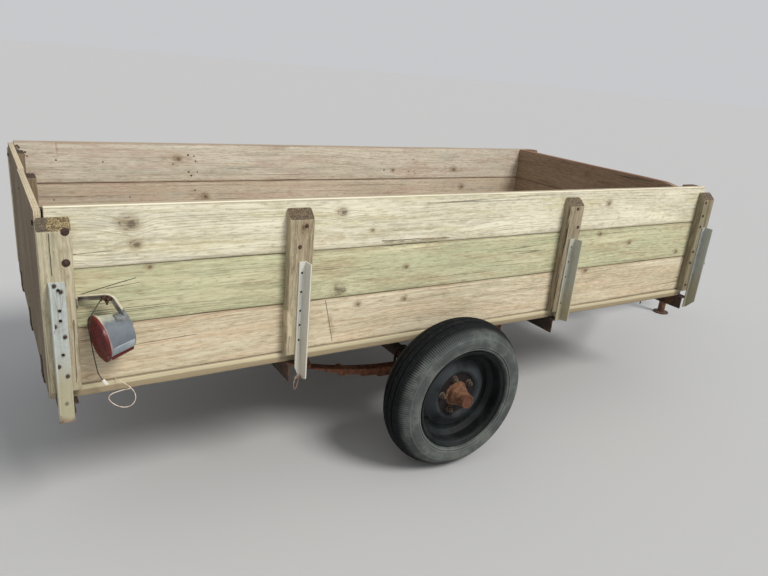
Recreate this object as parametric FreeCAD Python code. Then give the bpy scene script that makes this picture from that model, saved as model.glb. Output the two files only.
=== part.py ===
import FreeCAD, Part
import math
import os
from collections import namedtuple
from FreeCAD import Vector

# Stake-side utility trailer, ten feet by four, standing on its two tyres and its tongue stand.
# Millimetres. +X is forward, +Y is the trailer's left, +Z is up, and the ground is at Z = 0.
# Distances along X are worked out from the rear end of the deck and shifted when a piece is saved,
# so that the origin is under the middle of the whole trailer.

# Deck and box boards
board_width = 184.0
board_thick = 38.0
board_seam = 1.0
plank_count = 7
plank_gap = 5.0
deck_length = 3048.0
deck_top = 537.0
deck_ledge = 7.0
side_rows = 3

# Wooden stakes, flat against the sides with a bevelled top
stake_width = 89.0
stake_height = 528.0
stake_bevel = 35.0
stake_rear_overhang = 25.0
stake_front_overhang = 46.0
stake_second = 721.0
stake_third = 2034.0

# Perforated steel angles bolted on the stakes
angle_lip = 40.0
angle_thick = 5.0
angle_top = 885.0
angle_hole = 4.5
torn_top = 50.0
torn_middle = 16.0
torn_width = 13.0

# Steel frame under the deck
frame_height = 64.0
cross_flange = 51.0
cross_thick = 6.0
rail_spread = 450.0
rail_flange = 38.0
rail_web = 5.0

# Tongue, braces, coupler and stand
tongue_side = 76.0
tongue_wall = 5.0
tongue_reach = 1140.0
tongue_corner = 8.0
brace_leg = 51.0
brace_thick = 5.0
brace_reach = 640.0
coupler_wall = 5.0
coupler_grip = 100.0
coupler_nose = 112.0
ball_radius = 25.4
ball_clearance = 0.6
ball_drop = 24.0
stand_from_tip = 45.0
stand_radius = 24.0
stand_wall = 4.0
stand_running = 0.5
stand_sleeve_wall = 5.0
stand_sleeve_length = 120.0
stand_length = 600.0
stand_foot_radius = 52.0
stand_foot_thick = 8.0

# Wheels, hubs and axle
wheel_from_rear = 1414.0
tyre_radius = 316.0
axle_radius = 30.0
saddle_half = 28.0
tyre_width = 180.0
tyre_side_gap = 55.0
tread_width = 88.0
tread_crown = 11.0
tread_groove_depth = 7.0
tread_groove_width = 9.0
tread_groove_spacing = 26.0
tyre_wall = 11.0
rim_flange_radius = 207.0
rim_flange_curl = 10.0
rim_seat_radius = 190.0
rim_well_radius = 166.0
rim_width = 140.0
rim_sheet = 4.0
disc_face = 18.0
disc_sheet = 6.0
hub_hole_radius = 53.0
hub_flange_radius = 86.0
hub_flange_thick = 12.0
hub_barrel_radius = 38.0
hub_nose_radius = 42.0
hub_tip_radius = 26.0
hub_tip = 99.0
hub_cap_depth = 3.0
hub_cap_thick = 5.0
spindle_short = 13.0
stud_circle = 69.85
stud_count = 5
stud_turn = 0.45
stud_radius = 6.0
nut_radius = 11.0
nut_height = 15.0
spindle_radius = 17.0
running = 0.3

# Leaf springs under the axle
leaf_count = 5
leaf_thick = 8.0
leaf_width = 45.0
spring_half = 500.0
leaf_step = 84.0
spring_radius = 1724.0
eye_radius = 18.0
eye_bolt_radius = 8.0
hanger_plate = 6.0
hanger_width = 44.0
shackle_length = 45.0
shackle_lean = 15.0
ubolt_radius = 6.0
clamp_plate = 8.0

# Tailgate
gate_thick = 19.0
gate_gap = 5.0
gate_side_gap = 6.0
gate_bottom = 499.0
gate_top = 1082.0
gate_seam = 1.0
hinge_radius = 8.0
hinge_pin_radius = 4.5
hinge_below = 13.0
hinge_in_from_face = 4.0
hinge_spread = 450.0
hinge_strap_width = 40.0
hinge_strap_length = 55.0
hinge_strap_thick = 4.0
hinge_knuckle = 22.0
batten_side_gap = 24.5

# Front panel
front_post_depth = 89.0
worn_width = 120.0
worn_drop = 26.0

# Tail lamps
lamp_ring_radius = 72.0
lamp_back_radius = 54.0
lamp_depth = 84.0
lamp_lens_thick = 16.0
lamp_tilt = 8.0
lamp_turn = 13.0
lamp_from_rear = 117.0
lamp_out = 74.0
lamp_height = 712.0
lamp_flat = 42.0
arm_web = 4.0
arm_depth = 16.0
arm_flange = 14.0
arm_flange_thick = 3.5
arm_start_out = 9.5
arm_above_lamp = 116.0
arm_run = 105.0
arm_rise = 15.0
arm_reach = 145.0
arm_drop = 68.0
arm_bend = 26.0
arm_turn = 27.8
arm_tab = 30.0
saddle_thick = 4.0
saddle_inner = 5.0
saddle_outer = 33.0
saddle_rear = 46.0

# Free wires at the right lamp
lead_radius = 1.5
wire_radius = 1.25
gland_radius = 4.0
gland_length = 15.0
plug_size = 9.0
plug_length = 22.0
plug_corner = 1.2

# Worked out from the sizes above
deck_width = plank_count * board_width + (plank_count - 1) * plank_gap
deck_bottom = deck_top - board_thick
side_face = deck_width / 2 - deck_ledge
side_inner = side_face - board_thick
stake_face = side_face + board_thick
angle_face = stake_face + angle_thick
frame_bottom = deck_bottom - frame_height
tongue_top = frame_bottom
tip_from_rear = deck_length + tongue_reach + coupler_nose
rear_reach = max(stake_rear_overhang, gate_gap + gate_thick + hinge_strap_thick)
middle = (tip_from_rear - rear_reach) / 2
tyre_centre = deck_width / 2 + tyre_side_gap + tyre_width / 2
axle_height = tyre_radius
spring_top = axle_height - axle_radius
arm_start_height = lamp_height + arm_above_lamp

# Each stake: the wood's rear edge from the rear of the deck, and its steel angle, which has its lip
# towards the rear or the front. The angle's corner is set in from the wood's edge on that side. Then
# come its flat leg's width, the heights of the leg's foot and of the lip's outer foot, and of its holes.
Stake = namedtuple("Stake", "rear lip set_in leg foot lip_foot holes")
front_stake = deck_length + stake_front_overhang - stake_width
stakes = [
    Stake(-stake_rear_overhang, "rear", 19.0, 43.0, 438.0, 488.0, (861.0, 799.0, 768.0, 661.0)),
    Stake(stake_second, "front", 25.0, 28.0, 442.0, 458.0, (845.0, 776.0, 706.0, 652.0, 595.0)),
    Stake(stake_third, "front", 25.0, 36.0, 496.0, 503.0, (848.0, 778.0, 707.0, 580.0)),
    Stake(front_stake, "front", 24.0, 28.0, 444.0, 488.0, (862.0, 792.0, 737.0, 625.0)),
]


def box(x0, x1, y0, y1, z0, z1):
    low = Vector(min(x0, x1), min(y0, y1), min(z0, z1))
    return Part.makeBox(abs(x1 - x0), abs(y1 - y0), abs(z1 - z0), low)


def rod(radius, start, end):
    line = Vector(*end) - Vector(*start)
    return Part.makeCylinder(radius, line.Length, Vector(*start), line)


def prism(points, along):
    # A closed outline of straight edges pushed along a vector.
    wire = Part.makePolygon([Vector(*p) for p in points] + [Vector(*points[0])])
    return Part.Face(wire).extrude(Vector(*along))


def fuse(pieces):
    whole = pieces[0].multiFuse(pieces[1:]) if len(pieces) > 1 else pieces[0]
    return whole.removeSplitter()


def other_side(shape):
    return shape.mirror(Vector(0, 0, 0), Vector(0, 1, 0))


def both(shape):
    return Part.makeCompound([shape, other_side(shape)])


def save(node, shape):
    moved = shape.copy()
    moved.translate(Vector(-middle, 0, 0))
    moved.exportStep("parts/" + node + ".step")


# Deck, sides and front panel


def deck_planks():
    planks = []
    for row in range(plank_count):
        y = -deck_width / 2 + row * (board_width + plank_gap)
        planks.append(box(0, deck_length, y, y + board_width, deck_bottom, deck_top))
    return Part.makeCompound(planks)


def side_board(row):
    z = deck_top + row * (board_width + board_seam)
    return box(0, deck_length, -side_face, -side_inner, z, z + board_width)


def front_boards():
    x1 = deck_length - front_post_depth
    boards = []
    for row in range(side_rows):
        z = deck_top + row * (board_width + board_seam)
        boards.append(box(x1 - board_thick, x1, -side_inner, side_inner, z, z + board_width))
    top = deck_top + side_rows * (board_width + board_seam) - board_seam
    worn = prism(
        [
            (x1 + 1, -side_inner - 1, top + 1),
            (x1 + 1, -side_inner - 1, top - worn_drop),
            (x1 + 1, -side_inner + worn_width, top + 1),
        ],
        (-board_thick - 2, 0, 0),
    )
    boards[-1] = boards[-1].cut(worn)
    return Part.makeCompound(boards)


def front_post():
    top = deck_top + side_rows * (board_width + board_seam) - board_seam
    x0 = deck_length - front_post_depth
    return box(x0, deck_length, -side_inner, -side_inner + board_thick, deck_top, top)


# Stakes


def wooden_stake(x0):
    z0 = deck_top
    z1 = deck_top + stake_height
    outline = [
        (x0, -side_face, z0),
        (x0, -stake_face, z0),
        (x0, -stake_face, z1 - stake_bevel),
        (x0, -side_face, z1),
    ]
    return prism(outline, (stake_width, 0, 0))


def steel_corner(stake):
    # Distance from the rear of the deck of the angle's outer corner, and the way its flat leg runs.
    if stake.lip == "rear":
        return stake.rear + stake.set_in, 1
    return stake.rear + stake_width - stake.set_in, -1


def steel_stake(stake, torn):
    corner, way = steel_corner(stake)
    foot = stake.foot
    lip_end = -stake_face - angle_lip - angle_thick
    leg_end = corner + way * stake.leg
    outline = [
        (corner, -stake_face, foot),
        (corner, lip_end, foot),
        (corner + way * angle_thick, lip_end, foot),
        (corner + way * angle_thick, -angle_face, foot),
        (leg_end, -angle_face, foot),
        (leg_end, -stake_face, foot),
    ]
    bar = prism(outline, (0, 0, angle_top - foot))
    # The lip's foot is cut at a slant, up to its outer edge
    cuts = [
        prism(
            [
                (corner - way, -angle_face, foot - 1),
                (corner - way, -angle_face, foot),
                (corner - way, lip_end - 1, stake.lip_foot),
                (corner - way, lip_end - 1, foot - 1),
            ],
            (way * (angle_thick + 2), 0, 0),
        )
    ]
    x = corner + way * (angle_thick + stake.leg) / 2
    for z in stake.holes:
        cuts.append(rod(angle_hole, (x, -stake_face + 1, z), (x, -angle_face - 1, z)))
    if torn:
        cuts.append(
            prism(
                [
                    (leg_end + way, -stake_face + 1, foot + torn_top),
                    (leg_end - way * torn_width, -stake_face + 1, foot + torn_middle),
                    (leg_end + way, -stake_face + 1, foot + torn_middle / 3),
                ],
                (0, -angle_thick - 2, 0),
            )
        )
    return bar.cut(Part.makeCompound(cuts))


# Frame


def cross_place(stake):
    # The rear edge of the cross member that stands behind a stake's steel.
    if stake.lip == "rear":
        return 0.0
    return steel_corner(stake)[0] - cross_flange


def cross_member(stake):
    # An angle with its flat on top under the deck and its upright at its rear edge.
    web = cross_place(stake)
    flat_end = web + cross_flange
    outline = [
        (web, frame_bottom),
        (web, deck_bottom),
        (flat_end, deck_bottom),
        (flat_end, deck_bottom - cross_thick),
        (web + cross_thick, deck_bottom - cross_thick),
        (web + cross_thick, frame_bottom),
    ]
    inside = rail_spread - rail_flange / 2
    outside = rail_spread + rail_flange / 2
    runs = [(-inside, inside), (outside, stake_face), (-stake_face, -outside)]
    bars = []
    for y0, y1 in runs:
        points = [(x, y0, z) for x, z in outline]
        bars.append(prism(points, (0, y1 - y0, 0)))
    return Part.makeCompound(bars)


def rail():
    y_in = -rail_spread + rail_flange / 2
    y_out = -rail_spread - rail_flange / 2
    outline = [
        (0, y_in, frame_bottom),
        (0, y_out, frame_bottom),
        (0, y_out, deck_bottom),
        (0, y_in, deck_bottom),
        (0, y_in, deck_bottom - rail_web),
        (0, y_out + rail_web, deck_bottom - rail_web),
        (0, y_out + rail_web, frame_bottom + rail_web),
        (0, y_in, frame_bottom + rail_web),
    ]
    return prism(outline, (deck_length, 0, 0))


def square_tube(x0, x1, side, wall, corner, z_top):
    outer = box(x0, x1, -side / 2, side / 2, z_top - side, z_top)
    long_edges = [e for e in outer.Edges if abs(e.tangentAt(e.FirstParameter).x) > 0.9]
    outer = outer.makeFillet(corner, long_edges)
    inner = box(x0 - 1, x1 + 1, -side / 2 + wall, side / 2 - wall, z_top - side + wall, z_top - wall)
    return outer.cut(inner)


def tongue():
    third = cross_place(stakes[2])
    return square_tube(third, deck_length + tongue_reach, tongue_side, tongue_wall, tongue_corner, tongue_top)


def brace():
    # A flat-lying angle from the rail's front end in to the side of the tongue.
    start = Vector(deck_length - brace_leg, -rail_spread - rail_flange / 2, frame_bottom)
    end_x = deck_length + brace_reach
    run = Vector(end_x, -tongue_side / 2, frame_bottom) - start
    across = Vector(run.y, -run.x, 0)
    across.normalize()
    across = across * -brace_leg
    flat = prism(
        [start, start + run, start + run + across, start + across],
        (0, 0, -brace_thick),
    )
    edge = across * (brace_thick / brace_leg)
    upright = prism(
        [start, start + run, start + run + edge, start + edge],
        (0, 0, -brace_leg),
    )
    whole = fuse([flat, upright])
    keep_off = tongue_side / 2
    trim = box(deck_length - 2 * brace_leg, end_x + 3 * brace_leg, -keep_off, keep_off * 4, 0, deck_top)
    return whole.cut(trim)


def coupler():
    # A pressed channel over the tongue's end that closes to a dome over the ball.
    end = deck_length + tongue_reach
    half = tongue_side / 2
    wall = coupler_wall
    grip = box(end - coupler_grip, end, -half - wall, half + wall, tongue_top - tongue_side, tongue_top + wall)
    grip = grip.cut(
        box(end - coupler_grip - 1, end + 1, -half, half, tongue_top - tongue_side - 1, tongue_top)
    )
    ball_x = end + coupler_nose - ball_radius - wall - 3
    ball_z = tongue_top - ball_drop - ball_radius
    dome = ball_radius + wall + 3
    low = ball_z - ball_radius * 0.35
    neck = []
    for x, w, top in (
        (end, half + wall, tongue_top + wall),
        (end + (ball_x - end) / 2, (half + dome) / 2, tongue_top + wall - 6),
        (ball_x, dome, ball_z + dome),
    ):
        neck.append(
            Part.makePolygon(
                [
                    Vector(x, -w, low),
                    Vector(x, -w, top),
                    Vector(x, w, top),
                    Vector(x, w, low),
                    Vector(x, -w, low),
                ]
            )
        )
    throat = Part.makeLoft(neck, True, True)
    nose = Part.makeCylinder(dome, ball_z - low, Vector(ball_x, 0, low))
    cap = Part.makeSphere(dome, Vector(ball_x, 0, ball_z))
    cap = cap.cut(box(ball_x - 2 * dome, ball_x + 2 * dome, -2 * dome, 2 * dome, low - 3 * dome, low))
    body = fuse([grip, throat, nose, cap])
    socket = ball_radius + ball_clearance
    hollow = [
        Part.makeSphere(socket, Vector(ball_x, 0, ball_z)),
        Part.makeCylinder(socket, ball_z - low + 1, Vector(ball_x, 0, low - 1)),
        box(end + wall, ball_x, -socket, socket, low - 1, ball_z),
    ]
    body = body.cut(fuse(hollow))
    lever_x = ball_x - dome
    lever = prism(
        [
            (lever_x, -7, tongue_top + wall - 14),
            (lever_x - 8, -7, tongue_top + wall + 22),
            (lever_x - 74, -7, tongue_top + wall + 34),
            (lever_x - 76, -7, tongue_top + wall + 26),
            (lever_x - 22, -7, tongue_top + wall + 10),
            (lever_x - 22, -7, tongue_top + wall - 14),
        ],
        (0, 14, 0),
    )
    return fuse([body, lever])


def stand_place():
    x = deck_length + tongue_reach - coupler_grip - stand_from_tip
    sleeve = stand_radius + stand_running + stand_sleeve_wall
    return x, tongue_side / 2 + sleeve


def stand_sleeve():
    x, y = stand_place()
    outer = stand_radius + stand_running + stand_sleeve_wall
    z1 = tongue_top + (stand_sleeve_length - tongue_side) / 2
    z0 = z1 - stand_sleeve_length
    tube = Part.makeCylinder(outer, stand_sleeve_length, Vector(x, y, z0))
    lug_half = outer * 0.7
    lug_low = tongue_top - tongue_side + 6
    lug = box(x - lug_half, x + lug_half, tongue_side / 2, y, lug_low, tongue_top - 6)
    boss = rod(11, (x, y, z1 - 28), (x, y + outer + 10, z1 - 28))
    body = fuse([tube, lug, boss])
    bore = Part.makeCylinder(stand_radius + stand_running, stand_sleeve_length + 2, Vector(x, y, z0 - 1))
    screw = rod(6, (x, y + stand_radius, z1 - 28), (x, y + outer + 48, z1 - 28))
    grip = rod(5, (x - 38, y + outer + 43, z1 - 28), (x + 38, y + outer + 43, z1 - 28))
    clearance = Part.makeCylinder(stand_radius + stand_running, stand_sleeve_length, Vector(x, y, z0))
    body = body.cut(bore)
    return fuse([body, fuse([screw, grip]).cut(clearance)])


def stand_leg():
    x, y = stand_place()
    tube = Part.makeCylinder(stand_radius, stand_length - stand_foot_thick, Vector(x, y, stand_foot_thick))
    bore = Part.makeCylinder(stand_radius - stand_wall, stand_length, Vector(x, y, stand_foot_thick))
    foot = Part.makeCylinder(stand_foot_radius, stand_foot_thick, Vector(x, y, 0))
    return fuse([tube.cut(bore), foot])


# Axle, springs and wheels


def across(profile, y_centre):
    # Revolves an outline of (distance outward from the wheel's middle, radius) about the axle line.
    points = [Vector(wheel_from_rear, -(y_centre + s), axle_height + r) for s, r in profile]
    wire = Part.makePolygon(points + [points[0]])
    face = Part.Face(wire)
    return face.revolve(Vector(wheel_from_rear, 0, axle_height), Vector(0, 1, 0), 360)


def tyre():
    half = tyre_width / 2
    tread = tread_width / 2
    bead = rim_width / 2 - running
    seat = rim_seat_radius + rim_sheet + running
    shoulder = tyre_radius - tread_crown
    side = [
        (-bead + 4, seat),
        (-bead, seat + 4.5),
        (-bead, rim_flange_radius + 1.5),
        (-bead - 12, rim_flange_radius + 7),
        (-half + 2, rim_flange_radius + 24),
        (-half, rim_flange_radius + 42),
        (-half + 4, rim_flange_radius + 58),
        (-half + 17, rim_flange_radius + 78),
        (-tread - 8, shoulder - 5),
        (-tread, shoulder),
    ]
    outline = list(side)
    for place in (-1, 0, 1):
        groove = place * tread_groove_spacing
        crown = tyre_radius - tread_crown * (groove / tread) ** 2
        outline += [
            (groove - tread_groove_width / 2, crown),
            (groove, crown - tread_groove_depth),
            (groove + tread_groove_width / 2, crown),
        ]
    outline += [(-s, r) for s, r in reversed(side)]
    inner = [
        (bead - 14, seat),
        (half - tyre_wall, rim_flange_radius + 40),
        (tread, shoulder - tyre_wall - 6),
    ]
    outline += inner + [(-s, r) for s, r in reversed(inner)]
    return across(outline, tyre_centre)


def wheel_disc():
    edge = rim_width / 2
    t = rim_sheet
    curl = edge + rim_flange_curl
    flange = [
        (edge - 2, rim_seat_radius),
        (edge + t, rim_seat_radius + 6),
        (edge + t, rim_flange_radius - 7),
        (curl - 3, rim_flange_radius - t),
        (curl, rim_flange_radius - t),
        (curl, rim_flange_radius),
        (curl - 5, rim_flange_radius),
        (edge, rim_flange_radius - 5),
        (edge, rim_seat_radius + 8),
        (edge - 4, rim_seat_radius + t),
    ]
    rim = [(-s, r) for s, r in reversed(flange)]
    rim += [
        (-edge + 34, rim_seat_radius - 4),
        (-edge + 46, rim_well_radius),
        (edge - 60, rim_well_radius),
        (edge - 44, rim_seat_radius - 4),
    ]
    rim += flange
    rim += [
        (edge - 42, rim_seat_radius),
        (edge - 58, rim_well_radius + t),
        (-edge + 44, rim_well_radius + t),
        (-edge + 32, rim_seat_radius),
    ]
    face = disc_face
    well = rim_well_radius + t / 2
    disc = [
        (face, hub_hole_radius),
        (face, stud_circle + nut_radius + 5),
        (face + 13, 98),
        (face + 15, 106),
        (face + 8, 118),
        (face - 12, 148),
        (face - 16, well),
        (face - 16 - disc_sheet, well),
        (face - 18, 145),
        (face + 2, 114),
        (face + 7, 104),
        (face + 6, 100),
        (face - disc_sheet, stud_circle + nut_radius + 8),
        (face - disc_sheet, hub_hole_radius),
    ]
    plate = across(disc, tyre_centre)
    holes = []
    for index in range(stud_count):
        holes.append(on_stud(index, stud_radius + running, face - disc_sheet - 1, face + 1))
    plate = plate.cut(Part.makeCompound(holes))
    return fuse([across(rim, tyre_centre), plate])


def stud_angle(index):
    return 2 * math.pi * (index + stud_turn) / stud_count


def on_stud(index, radius, s0, s1):
    turn = stud_angle(index)
    x = wheel_from_rear + stud_circle * math.cos(turn)
    z = axle_height + stud_circle * math.sin(turn)
    return rod(radius, (x, -(tyre_centre + s0), z), (x, -(tyre_centre + s1), z))


def hex_nut(index, s0, s1):
    turn = stud_angle(index)
    x = wheel_from_rear + stud_circle * math.cos(turn)
    z = axle_height + stud_circle * math.sin(turn)
    corners = []
    for k in range(6):
        a = turn + math.pi * k / 3
        corners.append((x + nut_radius * math.cos(a), -(tyre_centre + s0), z + nut_radius * math.sin(a)))
    return prism(corners, (0, -(s1 - s0), 0))


def hub():
    back = disc_face - disc_sheet
    bore = spindle_radius + running
    outline = [
        (-58, bore),
        (-58, hub_barrel_radius + 6),
        (-34, hub_barrel_radius + 6),
        (-26, hub_barrel_radius),
        (back - hub_flange_thick - 10, hub_barrel_radius),
        (back - hub_flange_thick, hub_barrel_radius + 10),
        (back - hub_flange_thick, hub_flange_radius),
        (back, hub_flange_radius),
        (back, hub_hole_radius - running),
        (disc_face + 3, hub_hole_radius - running),
        (disc_face + 5, hub_hole_radius - 3),
        (disc_face + 5, hub_nose_radius),
        (disc_face + 24, hub_nose_radius - 1),
        (disc_face + 32, hub_nose_radius - 6),
        (hub_tip - 26, hub_tip_radius + 4),
        (hub_tip - 2, hub_tip_radius + 3),
        (hub_tip, hub_tip_radius + 1),
        (hub_tip, hub_tip_radius - 4),
        (hub_tip - hub_cap_depth, hub_tip_radius - 5),
        (hub_tip - hub_cap_depth, 0),
        (hub_tip - hub_cap_depth - hub_cap_thick, 0),
        (hub_tip - hub_cap_depth - hub_cap_thick, bore),
    ]
    pieces = [across(outline, tyre_centre)]
    for index in range(stud_count):
        pieces.append(on_stud(index, stud_radius, back - 4, disc_face + nut_height + 6))
        pieces.append(hex_nut(index, disc_face, disc_face + nut_height))
    return fuse(pieces)


def spindle_reach():
    return tyre_centre + hub_tip - spindle_short


def axle():
    x, z = wheel_from_rear, axle_height
    shoulder = tyre_centre - 58 - 3
    beam = rod(axle_radius, (x, -shoulder + 24, z), (x, shoulder - 24, z))
    pieces = [beam]
    for way in (-1, 1):
        pieces.append(rod(24, (x, way * (shoulder - 24), z), (x, way * shoulder, z)))
        pieces.append(rod(spindle_radius, (x, way * shoulder, z), (x, way * spindle_reach(), z)))
        y = way * rail_spread
        sag = saddle_half**2 / (2 * spring_radius)
        pieces.append(
            box(
                x - saddle_half,
                x + saddle_half,
                y - leaf_width / 2,
                y + leaf_width / 2,
                spring_top + sag,
                axle_height - axle_radius * 0.55,
            )
        )
    return fuse(pieces)


def leaf(top_radius, half_length):
    # A curved bar whose ends stand higher than its middle, seen from the side.
    centre = Vector(wheel_from_rear, -rail_spread - leaf_width / 2, spring_top + spring_radius)
    turn = math.asin(half_length / top_radius)
    rows = []
    for radius in (top_radius, top_radius + leaf_thick):
        points = []
        for share in (-1, 0, 1):
            a = turn * share
            points.append(centre + Vector(radius * math.sin(a), 0, -radius * math.cos(a)))
        rows.append(points)
    upper, lower = rows
    edges = [
        Part.Arc(*upper).toShape(),
        Part.LineSegment(upper[2], lower[2]).toShape(),
        Part.Arc(*lower).toShape(),
        Part.LineSegment(lower[0], upper[0]).toShape(),
    ]
    return Part.Face(Part.Wire(Part.__sortEdges__(edges))).extrude(Vector(0, leaf_width, 0))


def eye_place(way):
    radius = spring_radius + leaf_thick - eye_radius
    drop = math.sqrt(radius**2 - spring_half**2)
    return wheel_from_rear + way * spring_half, spring_top + spring_radius - drop


def leaf_spring():
    y0 = -rail_spread - leaf_width / 2
    y1 = y0 + leaf_width
    pieces = []
    for row in range(leaf_count):
        half_length = spring_half - row * leaf_step - (12 if row else 0)
        pieces.append(leaf(spring_radius + row * leaf_thick, half_length))
    for way in (-1, 1):
        x, z = eye_place(way)
        pieces.append(rod(eye_radius, (x, y0, z), (x, y1, z)))
        clip_x = wheel_from_rear + way * (spring_half - 2 * leaf_step)
        sag = (spring_half - 2 * leaf_step) ** 2 / (2 * spring_radius)
        low = spring_top + sag - 3 * leaf_thick - 4
        high = spring_top + sag + 5
        clip = box(clip_x - 10, clip_x + 10, y0 - 4, y1 + 4, low, high)
        pieces.append(clip)
    pack = fuse(pieces)
    for way in (-1, 1):
        x, z = eye_place(way)
        pack = pack.cut(rod(eye_bolt_radius + running, (x, y0 - 1, z), (x, y1 + 1, z)))
    return pack


def hanger_pair(x, z, z_top, half_width):
    # Two plates either side of the spring, under a base plate on the rail.
    pieces = []
    for way in (-1, 1):
        y0 = -rail_spread + way * (leaf_width / 2 + 5)
        y1 = y0 + way * hanger_plate
        plate = box(x - half_width, x + half_width, y0, y1, z, z_top)
        round_end = rod(half_width, (x, y0, z), (x, y1, z))
        pieces += [plate, round_end]
    return pieces


def spring_hangers():
    reach = leaf_width / 2 + 5 + hanger_plate + 10
    base = hanger_plate
    plate_top = frame_bottom - base
    half_width = hanger_width / 2
    x, z = eye_place(1)
    front = hanger_pair(x, z, plate_top, half_width)
    foot = half_width + 14
    front.append(
        box(x - foot, x + foot, -rail_spread - 36, -rail_spread + 36, plate_top, frame_bottom)
    )
    front.append(rod(eye_bolt_radius, (x, -rail_spread - reach, z), (x, -rail_spread + reach, z)))
    x, z = eye_place(-1)
    pin_x = x - shackle_lean
    pin_z = z + math.sqrt(shackle_length**2 - shackle_lean**2)
    rear = []
    lug_half = 9.0
    for way in (-1, 1):
        y0 = -rail_spread + way * (leaf_width / 2 - 8)
        y1 = y0 + way * hanger_plate
        rear.append(box(pin_x - 15, pin_x + 15, y0, y1, pin_z, plate_top))
        rear.append(rod(15, (pin_x, y0, pin_z), (pin_x, y1, pin_z)))
        y0 = -rail_spread + way * (leaf_width / 2 + 2)
        y1 = y0 + way * hanger_plate
        rear.append(rod(lug_half + 3, (x, y0, z), (x, y1, z)))
        rear.append(rod(lug_half + 3, (pin_x, y0, pin_z), (pin_x, y1, pin_z)))
        lean = math.atan2(shackle_lean, pin_z - z)
        dx = (lug_half + 3) * math.cos(lean)
        dz = (lug_half + 3) * math.sin(lean)
        rear.append(
            prism(
                [
                    (x + dx, y0, z + dz),
                    (pin_x + dx, y0, pin_z + dz),
                    (pin_x - dx, y0, pin_z - dz),
                    (x - dx, y0, z - dz),
                ],
                (0, y1 - y0, 0),
            )
        )
    rear.append(
        box(pin_x - 36, pin_x + 36, -rail_spread - 36, -rail_spread + 36, plate_top, frame_bottom)
    )
    for px, pz in ((x, z), (pin_x, pin_z)):
        rear.append(rod(eye_bolt_radius, (px, -rail_spread - reach, pz), (px, -rail_spread + reach, pz)))
    return Part.makeCompound([fuse(front), fuse(rear)])


def axle_clamp():
    x = wheel_from_rear
    bend = axle_radius + ubolt_radius
    plate_top = spring_top - leaf_count * leaf_thick
    plate_low = plate_top - clamp_plate
    side = leaf_width / 2 + ubolt_radius + 1
    pieces = [
        box(
            x - bend - 16,
            x + bend + 16,
            -rail_spread - side - 14,
            -rail_spread + side + 14,
            plate_low,
            plate_top,
        )
    ]
    for way in (-1, 1):
        y = -rail_spread + way * side
        ring = Part.makeTorus(bend, ubolt_radius, Vector(x, y, axle_height), Vector(0, 1, 0))
        half_space = box(x - 2 * bend, x + 2 * bend, y - 20, y + 20, axle_height - 2 * bend, axle_height)
        pieces.append(ring.cut(half_space))
        for side_x in (-bend, bend):
            pieces.append(rod(ubolt_radius, (x + side_x, y, plate_low - 20), (x + side_x, y, axle_height)))
            pieces.append(rod(11, (x + side_x, y, plate_low - 11), (x + side_x, y, plate_low)))
    return fuse(pieces)


# Tailgate


def hinge_line():
    # The hinge pin lies under the gate, near its outer face.
    x = -gate_gap - gate_thick + hinge_in_from_face
    return x, gate_bottom - hinge_below


def gate_panels():
    half = side_face - gate_side_gap
    x1 = -gate_gap
    panels = []
    for y0, y1 in ((-half, -gate_seam / 2), (gate_seam / 2, half)):
        panels.append(box(x1 - gate_thick, x1, y0, y1, gate_bottom, gate_top))
    return Part.makeCompound(panels)


def gate_battens():
    battens = []
    z0 = deck_top + gate_side_gap
    z1 = gate_top - 24
    outer = side_inner - batten_side_gap - stake_width / 2
    for y in (-outer, 0, outer):
        battens.append(
            box(-gate_gap, -gate_gap + board_thick, y - stake_width / 2, y + stake_width / 2, z0, z1)
        )
    return Part.makeCompound(battens)


def gate_straps():
    x, z = hinge_line()
    face = -gate_gap - gate_thick
    half = hinge_strap_width / 2
    straps = []
    for y in (-hinge_spread, 0, hinge_spread):
        knuckle = rod(hinge_radius, (x, y - half, z), (x, y + half, z))
        strap = box(face - hinge_strap_thick, face, y - half, y + half, z, gate_bottom + hinge_strap_length)
        bore = rod(hinge_pin_radius + running, (x, y - half - 1, z), (x, y + half + 1, z))
        straps.append(fuse([knuckle, strap]).cut(bore))
    return Part.makeCompound(straps)


def fixed_hinges():
    x, z = hinge_line()
    half = hinge_strap_width / 2
    leaves = []
    for y in (-hinge_spread, 0, hinge_spread):
        pin = half + hinge_knuckle + 4
        pieces = [rod(hinge_pin_radius, (x, y - pin, z), (x, y + pin, z))]
        for way in (-1, 1):
            y0 = y + way * (half + 1)
            y1 = y0 + way * hinge_knuckle
            pieces.append(rod(hinge_radius, (x, y0, z), (x, y1, z)))
            pieces.append(box(x, 0, y0, y1, z - hinge_radius, z - hinge_radius + hinge_strap_thick + 1))
        pieces.append(
            box(
                -hinge_strap_thick - 1,
                0,
                y - half - hinge_knuckle - 1,
                y + half + hinge_knuckle + 1,
                frame_bottom + 4,
                z - hinge_radius + hinge_strap_thick + 1,
            )
        )
        leaves.append(fuse(pieces))
    return Part.makeCompound(leaves)


# Tail lamps


def lamp_frame(shape):
    # Tilts a lamp that was made facing straight back, turns it outward, and takes it to its place on
    # the right side.
    turned = shape.copy()
    turned.rotate(Vector(0, 0, 0), Vector(0, 1, 0), -lamp_tilt)
    turned.rotate(Vector(0, 0, 0), Vector(0, 0, 1), lamp_turn)
    turned.translate(Vector(lamp_from_rear, -side_face - lamp_out, lamp_height))
    return turned


def lamp_drum(proud):
    # The drum's outside, or the same cone standing proud of it.
    front = lamp_ring_radius - 3 + proud
    return Part.makeCone(front, lamp_back_radius + proud, lamp_depth, Vector(0, 0, 0), Vector(1, 0, 0))


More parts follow.
